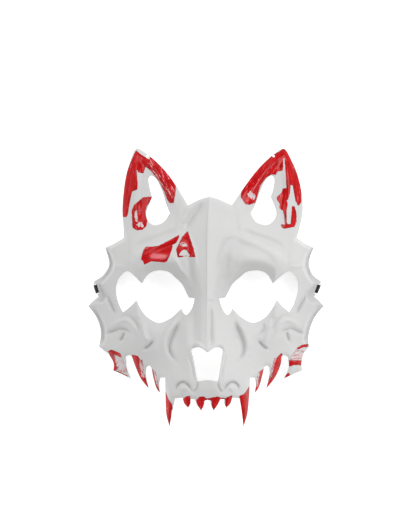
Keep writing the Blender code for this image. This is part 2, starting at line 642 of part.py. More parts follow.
def mask_shell(collection):
    """The moulded face, with every hole cut through it."""
    outline = both_halves(half_line(OUTLINE, EDGE_FACET))
    holes = [both_halves(half_line(NOSE_HOLE, EDGE_FACET))]
    for rows in (EAR_HOLE, EYE_HOLE):
        hole = closed_loop(rows, EDGE_FACET)
        holes += [hole, mirrored(hole)]
    for hole in (slot_loop(), round_loop(plan(*EAR_TIP_HOLE_PLACE), EAR_TIP_HOLE)):
        holes += [hole, mirrored(hole)]
    spots, faces = triangulate(outline, holes, guide_lines() + flange_lines(outline))
    outer, lowest = surface_heights(spots, outline, holes)
    points = leaned(np.column_stack([spots, outer]))
    vertices, faces = closed_shell(points, facing_up(points, faces), lowest)
    plastic = plain_material("white_moulded_plastic", (0.80, 0.80, 0.78), 0.35)
    return add_object("mask_shell", vertices, faces, plastic, collection)


def rounded(corners, radius):
    """A line through corners, with each one between its ends cut back by radius and rounded."""
    corners = np.array(corners)
    line = [corners[0]]
    for before, corner, after in zip(corners, corners[1:], corners[2:]):
        start = corner + radius * (before - corner) / np.linalg.norm(before - corner)
        end = corner + radius * (after - corner) / np.linalg.norm(after - corner)
        line += [start, (start + 2 * corner + end) / 4, end]
    return np.array([*line, corners[-1]])


def rail_loop():
    """The elastic's middle line from its stitched end up through the slot, over the rail and back below."""
    slot, _, out = slot_frame()
    rail = slot + out * (RAIL_WIDTH + SLOT_WIDTH) / 2
    spare = CLEARANCE + STRAP_THICKNESS / 2
    reach = RAIL_WIDTH / 2 + spare
    under = TAB_LIFT - spare
    lower = under - STRAP_THICKNESS - CLEARANCE
    over = TAB_LIFT + WALL + spare
    corners = (
        # out from the rail's middle, height
        (-reach - STITCHED_END, under),
        (-reach, under),
        (-reach, over),
        (reach, over),
        (reach, lower),
        (-reach - STITCHED_END, lower),
    )
    return np.array([(*(rail + out * away), z) for away, z in rounded(corners, STRAP_THICKNESS)])


def strap_path():
    """The elastic's middle line on the +X half, from its stitched end round the rail to the middle
    line, with its width's direction at each point."""
    _, along, _ = slot_frame()
    loop = rail_loop()
    route = np.array([(*plan(a, b), h * STRAP_WIDTH, math.radians(turn)) for a, b, h, turn in STRAP_ROUTE])
    behind = resample(np.vstack([[*loop[-1], 0], route]), STRAP_FACET)[1:]
    lying = np.array([*along, 0])
    upright = np.array([0, 0, 1])
    places = np.vstack([loop, behind[:, :3]])
    level = np.cross(np.gradient(places, axis=0)[len(loop) :], upright)
    level *= (np.sign(level @ lying) / np.linalg.norm(level, axis=1))[:, None]
    turns = behind[:, 3][:, None]
    widths = level * np.cos(turns) + upright * np.sin(turns)
    return places, np.vstack([np.tile(lying, (len(loop), 1)), widths])


def ribbon(places, widths):
    """Vertices and faces of a flat band along places, with its width along widths."""
    tangents = np.gradient(places, axis=0)
    tangents /= np.linalg.norm(tangents, axis=1)[:, None]
    thick = np.cross(tangents, widths)
    thick /= np.linalg.norm(thick, axis=1)[:, None]
    rings = []
    for w, t in ((1, 1), (-1, 1), (-1, -1), (1, -1)):
        rings.append(places + widths * w * STRAP_WIDTH / 2 + thick * t * STRAP_THICKNESS / 2)
    vertices = np.stack(rings, axis=1).reshape(-1, 3)
    count = len(places)
    faces = [(0, 1, 2, 3), tuple(4 * (count - 1) + i for i in (3, 2, 1, 0))]
    for i in range(count - 1):
        for j in range(4):
            k = (j + 1) % 4
            faces.append((4 * i + j, 4 * i + k, 4 * i + 4 + k, 4 * i + 4 + j))
    return vertices, faces


def head_strap(collection):
    """The elastic from one tab's rail to the other, tucked behind the brow on the table."""
    places, widths = strap_path()
    swap = np.array([-1, 1, 1])
    places = np.concatenate([places, places[-2::-1] * swap])
    vertices, faces = ribbon(places, np.concatenate([widths, widths[-2::-1] * swap]))
    elastic = plain_material("black_woven_elastic", (0.02, 0.02, 0.02), 0.85)
    return add_object("head_strap", leaned(vertices), faces, elastic, collection)


def main():
    clear_scene()
    collection = bpy.data.collections.new("wolf_mask")
    bpy.context.scene.collection.children.link(collection)
    pieces = [mask_shell(collection), head_strap(collection)]
    corners = np.array([v.co for v in pieces[0].data.vertices])
    middle = (corners.min(axis=0) + corners.max(axis=0)) / 2
    for piece in pieces:
        for vertex in piece.data.vertices:
            vertex.co -= Vector((middle[0], middle[1], corners[:, 2].min()))


main()
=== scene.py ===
"""A wolf skull party mask lying face up on a pale floor: satin white moulded plastic with half rubbed
blood red paint, and a flat black elastic looped over the rail of each side tab.

The shell is a height field over a plan. A place in the plan is given as a share of half the width
from the middle line and a share of half the height from the middle of the mask, and the painted
patches in millimetres from the mask's middle, x to the right and y up the face.
"""

from __future__ import annotations

import logging
import math
from dataclasses import dataclass, field
from enum import Enum

import bpy
import numpy as np
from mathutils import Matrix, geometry


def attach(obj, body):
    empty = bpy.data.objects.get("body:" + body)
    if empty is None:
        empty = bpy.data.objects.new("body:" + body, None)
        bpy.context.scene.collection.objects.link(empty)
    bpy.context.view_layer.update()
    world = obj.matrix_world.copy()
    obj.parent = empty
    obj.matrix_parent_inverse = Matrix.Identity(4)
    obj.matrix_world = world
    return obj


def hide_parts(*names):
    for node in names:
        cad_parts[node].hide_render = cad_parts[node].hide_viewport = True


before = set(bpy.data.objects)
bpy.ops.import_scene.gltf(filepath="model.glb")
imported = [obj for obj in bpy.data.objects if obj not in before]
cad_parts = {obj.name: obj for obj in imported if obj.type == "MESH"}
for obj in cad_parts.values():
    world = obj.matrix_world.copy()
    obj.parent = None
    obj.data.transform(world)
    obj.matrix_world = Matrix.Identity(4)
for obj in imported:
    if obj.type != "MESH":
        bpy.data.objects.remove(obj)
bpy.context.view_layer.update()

LOG = logging.getLogger("wolf_mask")
MM = 0.001
BLOCK = 256
# Depths inside the paint, in millimetres: of a place far from any patch, and of the inner surface,
# which is near enough to zero for the paint to run a little way down the wall of an edge.
UNPAINTED = -9.0
INNER_SIDE = -3.0


class Turn(Enum):
    """How an outline passes one of its points."""

    CURVE = "curve"
    CORNER = "corner"


class Cut(Enum):
    """The form of a fold's cut across its line."""

    SOFT = "soft"
    SHARP = "sharp"


class Side(Enum):
    """The half of the face that a fold is on, seen from the front."""

    LEFT = -1
    BOTH = 0
    RIGHT = 1


class Coat(Enum):
    """What a patch of the paint job is."""

    FULL = "full"
    # A painted highlight: pink paint colour laid where a reflection falls on the paint
    PAINTED_GLINT = "painted_glint"
    WORN = "worn"
    BARE = "bare"


CURVE, CORNER = Turn.CURVE, Turn.CORNER
SOFT, SHARP = Cut.SOFT, Cut.SHARP
LEFT, BOTH, RIGHT = Side.LEFT, Side.BOTH, Side.RIGHT
FULL, PAINTED_GLINT, WORN, BARE = Coat.FULL, Coat.PAINTED_GLINT, Coat.WORN, Coat.BARE

# The half outline from the forehead round the ear, the spikes and the teeth to the gum. rim is how
# far the edge comes down to the floor, flange a share of the flange's width, lift a share of the
# tab's lift, and tab is 1 where the flange widens to hold the slot.
OUTLINE = (
    # name, across, along, turn, rim, flange, lift, tab
    ("forehead_peak", 0.000, 0.653, CURVE, 0, 0, 0, 0),
    ("forehead_shoulder", 0.078, 0.634, CURVE, 0, 0, 0, 0),
    ("forehead_end", 0.136, 0.611, CURVE, 0, 0, 0, 0),
    ("ear_root", 0.186, 0.591, CORNER, 0, 0, 0, 0),
    ("ear_inner_low", 0.281, 0.718, CURVE, 0, 0, 0, 0),
    ("ear_inner_middle", 0.396, 0.848, CURVE, 0, 0, 0, 0),
    ("ear_inner_high", 0.531, 0.957, CURVE, 0, 0, 0, 0),
    ("ear_tip", 0.624, 1.000, CURVE, 0, 0, 0, 0),
    ("ear_outer_high", 0.683, 0.914, CURVE, 0, 0, 0, 0),
    ("ear_outer_upper", 0.736, 0.776, CURVE, 0, 0, 0, 0),
    ("ear_outer_middle", 0.765, 0.566, CURVE, 0, 0, 0, 0),
    ("ear_outer_low", 0.748, 0.440, CURVE, 0, 0, 0, 0),
    ("temple_corner", 0.732, 0.357, CORNER, 0.3, 0, 2.5, 0),
    ("temple_edge", 0.822, 0.311, CURVE, 0.9, 0, 2.0, 0),
    ("upper_spike", 0.886, 0.286, CORNER, 1, 0, 1.5, 0),
    ("upper_scallop", 0.858, 0.219, CURVE, 1, 0.7, 0, 0),
    ("scallop_middle", 0.850, 0.158, CURVE, 1, 1, 0, 0),
    ("scallop_low", 0.890, 0.089, CURVE, 1, 1, 1, 0),
    ("tab_top", 0.964, 0.044, CORNER, 1, 1, 1, 1),
    ("tab_side", 0.956, -0.001, CURVE, 1, 1, 1, 1),
    ("tab_foot", 0.917, -0.067, CORNER, 1, 1, 1, 1),
    ("side_spike_edge", 0.965, -0.101, CURVE, 1, 0, 1.2, 0),
    ("side_spike", 1.000, -0.135, CORNER, 1, 0, 1.2, 0),
    ("lower_scallop_high", 0.933, -0.208, CURVE, 1, 0.7, 0, 0),
    ("lower_scallop", 0.892, -0.294, CURVE, 1, 1, 0, 0),
    ("lower_scallop_low", 0.883, -0.374, CURVE, 1, 1, 0, 0),
    ("lower_spike", 0.894, -0.427, CORNER, 1, 0, 1.0, 0),
    ("blade_root", 0.825, -0.482, CORNER, 0.5, 0, 2.0, 0),
    ("blade_outer", 0.797, -0.551, CURVE, 0, 0, 0, 0),
    ("blade_heel", 0.802, -0.600, CORNER, 0, 0, 0, 0),
    ("blade_foot", 0.737, -0.622, CURVE, 0, 0, 0, 0),
    ("blade_tip", 0.649, -0.656, CORNER, 0, 0, 0, 0),
    ("blade_inner", 0.686, -0.576, CURVE, 0, 0, 0, 0),
    ("first_gap_outer", 0.687, -0.500, CORNER, 0, 0, 0, 0),
    ("first_gap_top", 0.659, -0.488, CURVE, 0, 0, 0, 0),
    ("first_gap_inner", 0.635, -0.495, CORNER, 0, 0, 0, 0),
    ("first_tooth_side", 0.618, -0.555, CURVE, 0, 0, 0, 0),
    ("first_tooth_low", 0.566, -0.656, CURVE, 0, 0, 0, 0),
    ("first_tooth_tip", 0.497, -0.728, CORNER, 0, 0, 0, 0),
    ("first_tooth_inner", 0.522, -0.627, CURVE, 0, 0, 0, 0),
    ("second_gap_outer", 0.519, -0.572, CORNER, 0, 0, 0, 0),
    ("second_gap_top", 0.497, -0.562, CURVE, 0, 0, 0, 0),
    ("second_gap_inner", 0.476, -0.575, CORNER, 0, 0, 0, 0),
    ("second_tooth_side", 0.464, -0.627, CURVE, 0, 0, 0, 0),
    ("second_tooth_low", 0.429, -0.728, CURVE, 0, 0, 0, 0),
    ("second_tooth_tip", 0.400, -0.757, CORNER, 0, 0, 0, 0),
    ("second_tooth_inner", 0.408, -0.699, CURVE, 0, 0, 0, 0),
    ("third_gap_outer", 0.400, -0.648, CORNER, 0, 0, 0, 0),
    ("third_gap_inner", 0.358, -0.646, CORNER, 0, 0, 0, 0),
    ("canine_side", 0.353, -0.779, CURVE, 0, 0, 0, 0),
    ("canine_low", 0.342, -0.909, CURVE, 0, 0, 0, 0),
    ("canine_tip", 0.312, -1.000, CORNER, 0, 0, 0, 0),
    ("canine_inner", 0.292, -0.888, CURVE, 0, 0, 0, 0),
    ("canine_root", 0.272, -0.795, CORNER, 0, 0, 0, 0),
    ("gum_side", 0.237, -0.791, CURVE, 0, 0, 0, 0),
    ("outer_incisor_root", 0.209, -0.788, CORNER, 0, 0, 0, 0),
    ("outer_incisor_side", 0.194, -0.830, CURVE, 0, 0, 0, 0),
    ("outer_incisor_tip", 0.161, -0.860, CORNER, 0, 0, 0, 0),
    ("outer_incisor_inner", 0.143, -0.830, CURVE, 0, 0, 0, 0),
    ("outer_incisor_gum", 0.142, -0.798, CORNER, 0, 0, 0, 0),
    ("inner_incisor_root", 0.108, -0.798, CORNER, 0, 0, 0, 0),
    ("inner_incisor_side", 0.087, -0.837, CURVE, 0, 0, 0, 0),
    ("inner_incisor_tip", 0.053, -0.880, CORNER, 0, 0, 0, 0),
    ("inner_incisor_inner", 0.032, -0.844, CURVE, 0, 0, 0, 0),
    ("inner_incisor_gum", 0.025, -0.809, CORNER, 0, 0, 0, 0),
    ("gum_middle", 0.000, -0.803, CURVE, 0, 0, 0, 0),
)

# The hole in each ear. drop is how far the hole's edge falls in, as a share of the socket's drop.
EAR_HOLE = (
    # name, across, along, turn, drop
    ("top", 0.508, 0.805, CURVE, 0.2),
    ("top_outer", 0.531, 0.788, CURVE, 0.2),
    ("outer_high", 0.525, 0.718, CURVE, 0.2),
    ("notch", 0.503, 0.651, CORNER, 0.2),
    ("outer_middle", 0.534, 0.588, CURVE, 0.2),
    ("outer_low", 0.553, 0.528, CURVE, 0.2),
    ("bottom_outer", 0.529, 0.477, CURVE, 0.2),
    ("bottom", 0.475, 0.448, CURVE, 0.2),
    ("bottom_inner", 0.390, 0.472, CURVE, 0.2),
    ("inner_corner", 0.341, 0.535, CORNER, 0.2),
    ("inner_low", 0.376, 0.595, CURVE, 0.2),
    ("inner_high", 0.420, 0.704, CURVE, 0.2),
    ("inner_top", 0.470, 0.783, CURVE, 0.2),
)

# The eye, with its thorns above and below
EYE_HOLE = (
    # name, across, along, turn, drop
    ("inner_corner", 0.105, -0.079, CORNER, 0.3),
    ("tear_top", 0.155, -0.072, CORNER, 0.6),
    ("inner_side", 0.182, -0.027, CURVE, 0.9),
    ("inner_high", 0.214, 0.024, CURVE, 1.0),
    ("brow_inner", 0.275, 0.073, CURVE, 1.0),
    ("brow_corner", 0.333, 0.112, CURVE, 1.0),
    ("brow", 0.438, 0.120, CURVE, 1.0),
    ("brow_outer", 0.503, 0.094, CURVE, 1.0),
    ("upper_thorn", 0.555, 0.028, CORNER, 0.6),
    ("outer_lobe_inner", 0.623, 0.084, CURVE, 0.4),
    ("outer_lobe_top", 0.685, 0.116, CURVE, 0.3),
    ("outer_lobe_high", 0.744, 0.077, CURVE, 0.3),
    ("outer_lobe_side", 0.771, 0.002, CURVE, 0.3),
    ("outer_lobe_low", 0.745, -0.112, CURVE, 0.3),
    ("outer_lobe_foot", 0.705, -0.179, CORNER, 0.2),
    ("lower_lobe_edge", 0.648, -0.140, CURVE, 0.1),
    ("lower_thorn", 0.593, -0.090, CORNER, 0.0),
    ("cheek_high", 0.553, -0.157, CURVE, 0.2),
    ("cheek_low", 0.495, -0.215, CURVE, 0.3),
    ("cheek_bottom", 0.400, -0.254, CURVE, 0.3),
    ("cheek_inner", 0.301, -0.218, CURVE, 0.3),
    ("inner_thorn", 0.214, -0.151, CORNER, 0.0),
    ("tear_outer", 0.198, -0.182, CURVE, 0.3),
    ("tear_bottom", 0.175, -0.196, CURVE, 0.4),
    ("tear_inner", 0.143, -0.171, CURVE, 0.4),
    ("bridge_side", 0.115, -0.118, CURVE, 0.4),
)

# Half of the nose hole, from its notch down to the middle of its foot
NOSE_HOLE = (
    # name, across, along, turn, drop
    ("notch", 0.000, -0.464, CORNER, 0.2),
    ("lobe_inner", 0.039, -0.439, CURVE, 0.2),
    ("lobe_top", 0.075, -0.427, CURVE, 0.2),
    ("lobe_outer", 0.131, -0.446, CURVE, 0.2),
    ("side_high", 0.122, -0.493, CURVE, 0.2),
    ("side_low", 0.104, -0.587, CURVE, 0.2),
    ("foot", 0.085, -0.671, CORNER, 0.2),
    ("foot_inner", 0.051, -0.664, CURVE, 0.2),
    ("foot_middle", 0.000, -0.659, CURVE, 0.2),
)

# Cuts across the mask, with the height above the floor at the places across in SECTION_ACROSS, as
# shares of the mask's depth
SECTION_ACROSS = (0.0, 0.06, 0.13, 0.22, 0.34, 0.46, 0.58, 0.70, 0.82, 0.94)
SECTIONS = (
    # name, along, heights
    ("ear_tips", 0.99, (0.33, 0.33, 0.33, 0.33, 0.32, 0.31, 0.28, 0.26, 0.22, 0.18)),
    ("ear_middles", 0.80, (0.48, 0.48, 0.47, 0.46, 0.42, 0.38, 0.35, 0.30, 0.24, 0.18)),
    ("forehead_edge", 0.65, (0.62, 0.60, 0.57, 0.52, 0.46, 0.41, 0.36, 0.30, 0.23, 0.16)),
    ("forehead", 0.54, (0.66, 0.63, 0.60, 0.55, 0.49, 0.44, 0.38, 0.31, 0.22, 0.14)),
    ("ear_roots", 0.43, (0.69, 0.66, 0.63, 0.59, 0.54, 0.49, 0.42, 0.33, 0.22, 0.13)),
    ("temples", 0.31, (0.71, 0.68, 0.65, 0.63, 0.60, 0.56, 0.48, 0.37, 0.20, 0.07)),
    ("brows", 0.21, (0.73, 0.70, 0.67, 0.66, 0.66, 0.62, 0.54, 0.40, 0.21, 0.08)),
    ("eye_tops", 0.12, (0.75, 0.71, 0.66, 0.62, 0.60, 0.59, 0.53, 0.41, 0.22, 0.09)),
    ("eyes", 0.04, (0.77, 0.72, 0.63, 0.55, 0.52, 0.53, 0.49, 0.40, 0.22, 0.09)),
    ("bridge", -0.08, (0.80, 0.75, 0.62, 0.52, 0.48, 0.50, 0.48, 0.38, 0.22, 0.09)),
    ("eye_feet", -0.18, (0.85, 0.80, 0.69, 0.59, 0.54, 0.53, 0.49, 0.37, 0.20, 0.08)),
    ("cheekbones", -0.27, (0.90, 0.85, 0.76, 0.66, 0.60, 0.55, 0.48, 0.36, 0.19, 0.08)),
    ("cheeks", -0.37, (0.95, 0.91, 0.83, 0.71, 0.63, 0.56, 0.47, 0.33, 0.16, 0.07)),
    ("nose_top", -0.45, (1.00, 0.97, 0.88, 0.76, 0.66, 0.56, 0.44, 0.30, 0.15, 0.07)),
    ("nose_side", -0.56, (1.00, 0.98, 0.92, 0.81, 0.69, 0.53, 0.38, 0.26, 0.13, 0.07)),
    ("nose_foot", -0.67, (0.97, 0.97, 0.94, 0.86, 0.71, 0.50, 0.34, 0.22, 0.11, 0.06)),
    ("gum", -0.79, (0.92, 0.92, 0.91, 0.85, 0.70, 0.48, 0.30, 0.19, 0.10, 0.05)),
    ("fang_tips", -1.00, (0.82, 0.82, 0.82, 0.77, 0.64, 0.42, 0.25, 0.15, 0.07, 0.04)),
)

# Ridges, and grooves where the height is negative. height is a share of the fold height at the
# middle of the fold, width a share of the fold width to each side, and places are (across, along).
FOLDS = (
    # name, cut, side, height, width,
    #     places
    ("ridge_bead", SHARP, BOTH, 0.22, 0.36,
        ((0.000, 0.700), (0.000, 0.300), (0.000, -0.100), (0.000, -0.500))),
    ("muzzle_groove", SHARP, BOTH, -1.0, 0.75,
        ((0.229, -0.229), (0.277, -0.331), (0.310, -0.403), (0.310, -0.461), (0.257, -0.540))),
    ("muzzle_ridge", SOFT, BOTH, 0.5, 0.9,
        ((0.220, -0.164), (0.271, -0.237), (0.326, -0.316), (0.360, -0.403), (0.360, -0.475))),
    ("nasal_valley", SOFT, LEFT, -0.6, 1.4,
        ((0.105, -0.100), (0.100, -0.251), (0.110, -0.420))),
    ("nasal_wedge", SHARP, RIGHT, -1.2, 1.1,
        ((0.040, -0.110), (0.038, -0.251), (0.032, -0.440))),
    ("nasal_step", SHARP, RIGHT, 0.30, 0.5,
        ((0.000, -0.085), (0.035, -0.080), (0.070, -0.095))),
    ("nasal_bulge", SOFT, BOTH, 0.5, 1.6,
        ((0.136, -0.121), (0.169, -0.222), (0.178, -0.338), (0.169, -0.454), (0.169, -0.555))),
    ("cheekbone_groove", SHARP, BOTH, -1.0, 0.8,
        ((0.840, -0.336), (0.775, -0.316), (0.720, -0.299), (0.669, -0.309), (0.619, -0.340))),
    ("cheekbone_ridge", SHARP, BOTH, 0.55, 0.8,
        ((0.800, -0.285), (0.729, -0.245), (0.669, -0.240), (0.610, -0.285), (0.585, -0.335))),
    ("thorn_foot", SHARP, BOTH, -0.35, 0.7,
        ((0.740, -0.235), (0.690, -0.205), (0.640, -0.215), (0.590, -0.265), (0.555, -0.330))),
    ("cheek_tick", SHARP, BOTH, -0.9, 0.6,
        ((0.682, -0.316), (0.697, -0.356), (0.718, -0.392))),
    ("cheek_hook", SHARP, BOTH, -1.0, 0.6,
        ((0.443, -0.381), (0.479, -0.420), (0.525, -0.446))),
    ("cheek_wedge", SHARP, BOTH, 0.7, 1.0,
        ((0.540, -0.244), (0.525, -0.320), (0.490, -0.400))),
    ("cheek_slit", SHARP, RIGHT, -0.4, 0.5,
        ((0.479, -0.251), (0.487, -0.294), (0.462, -0.338))),
    ("thorn_ridge", SHARP, BOTH, 0.5, 1.2,
        ((0.593, -0.099), (0.585, -0.171), (0.575, -0.237))),
    ("outer_socket_groove", SHARP, BOTH, -1.1, 0.9,
        ((0.870, 0.000), (0.845, -0.056), (0.801, -0.128), (0.752, -0.215))),
    ("brow_arc", SHARP, BOTH, 0.40, 0.7,
        ((0.085, 0.130), (0.100, 0.200), (0.122, 0.281), (0.165, 0.358), (0.245, 0.385))),
    ("brow_crest", SOFT, BOTH, 0.6, 1.2,
        ((0.230, 0.375), (0.330, 0.340), (0.440, 0.300), (0.545, 0.250), (0.610, 0.170))),
    ("brow_valley", SOFT, BOTH, -0.55, 1.1,
        ((0.255, 0.410), (0.360, 0.378), (0.480, 0.338), (0.580, 0.300), (0.650, 0.230))),
    ("root_crest", SHARP, BOTH, 0.6, 0.9,
        ((0.300, 0.235), (0.255, 0.170), (0.205, 0.100), (0.165, 0.040), (0.132, -0.030))),
    ("root_groove", SOFT, BOTH, -0.6, 1.0,
        ((0.175, 0.270), (0.156, 0.167), (0.120, 0.050), (0.080, -0.055))),
    ("forehead_groove", SHARP, LEFT, -0.7, 1.2,
        ((0.042, 0.624), (0.102, 0.552), (0.169, 0.465), (0.205, 0.400))),
    ("forehead_wedge", SOFT, LEFT, 0.5, 1.0,
        ((0.150, 0.600), (0.200, 0.530), (0.235, 0.450))),
    ("temple_groove", SHARP, BOTH, -0.35, 0.7,
        ((0.686, 0.371), (0.678, 0.255), (0.665, 0.132))),
    ("ear_root_ridge", SHARP, BOTH, 0.25, 0.9,
        ((0.246, 0.588), (0.263, 0.451), (0.280, 0.360))),
    ("temple_fold", SHARP, BOTH, 0.30, 0.6,
        ((0.680, 0.145), (0.760, 0.150), (0.840, 0.160))),
    ("plate_groove", SHARP, BOTH, -0.5, 0.4,
        ((0.087, -0.674), (0.093, -0.718), (0.125, -0.757))),
    ("lip_curl", SHARP, BOTH, -0.9, 0.5,
        ((0.263, -0.743), (0.254, -0.703), (0.212, -0.678), (0.165, -0.696), (0.136, -0.743))),
    ("curl_bump", SOFT, BOTH, 0.5, 0.7,
        ((0.186, -0.728), (0.203, -0.725), (0.220, -0.721))),
    ("fang_root", SOFT, BOTH, 0.5, 0.9,
        ((0.300, -0.800), (0.330, -0.700), (0.370, -0.610))),
    ("nose_lip", SOFT, BOTH, 0.5, 0.6,
        ((0.153, -0.475), (0.142, -0.423), (0.097, -0.401), (0.051, -0.422), (0.000, -0.450))),
    ("nose_fold", SHARP, BOTH, -0.3, 0.4,
        ((0.155, -0.461), (0.155, -0.497), (0.138, -0.548), (0.126, -0.605), (0.119, -0.671))),
    ("ear_inner_ridge", SOFT, BOTH, 0.6, 1.0,
        ((0.610, 0.957), (0.525, 0.892), (0.449, 0.820), (0.373, 0.718), (0.314, 0.617))),
    ("ear_outer_ridge", SOFT, BOTH, 0.6, 1.3,
        ((0.627, 0.935), (0.644, 0.805), (0.653, 0.660), (0.644, 0.530), (0.627, 0.429))),
)

# How far the moulding's middle line and its sides lean across at each height
LEAN = (
    # along, middle, side
    (1.00, 0.033, 0.038),
    (0.78, 0.033, 0.059),
    (0.60, 0.025, 0.067),
    (0.43, 0.013, 0.059),
    (0.28, 0.010, 0.032),
    (0.16, 0.010, 0.029),
    (0.02, 0.010, 0.011),
    (-0.14, 0.010, 0.000),
    (-0.31, 0.011, -0.009),
    (-0.42, 0.014, -0.019),
    (-0.54, 0.015, 0.012),
    (-0.67, 0.015, 0.012),
    (-1.00, 0.011, -0.009),
)

# The elastic's route on the floor behind the face, from beside the tab to the middle line. height is
# a share of the strap's width, and turn the degrees from lying flat to standing on edge.
STRAP_ROUTE = (
    # across, along, height, turn
    (0.880, 0.006, 0.26, 6),
    (0.850, 0.022, 0.34, 28),
    (0.828, 0.058, 0.50, 65),
    (0.803, 0.098, 0.56, 90),
    (0.772, 0.155, 0.56, 90),
    (0.740, 0.215, 0.56, 90),
    (0.680, 0.285, 0.56, 90),
    (0.560, 0.330, 0.56, 90),
    (0.430, 0.322, 0.56, 90),
    (0.290, 0.318, 0.56, 90),
    (0.145, 0.335, 0.56, 90),
    (0.000, 0.342, 0.56, 90),
)
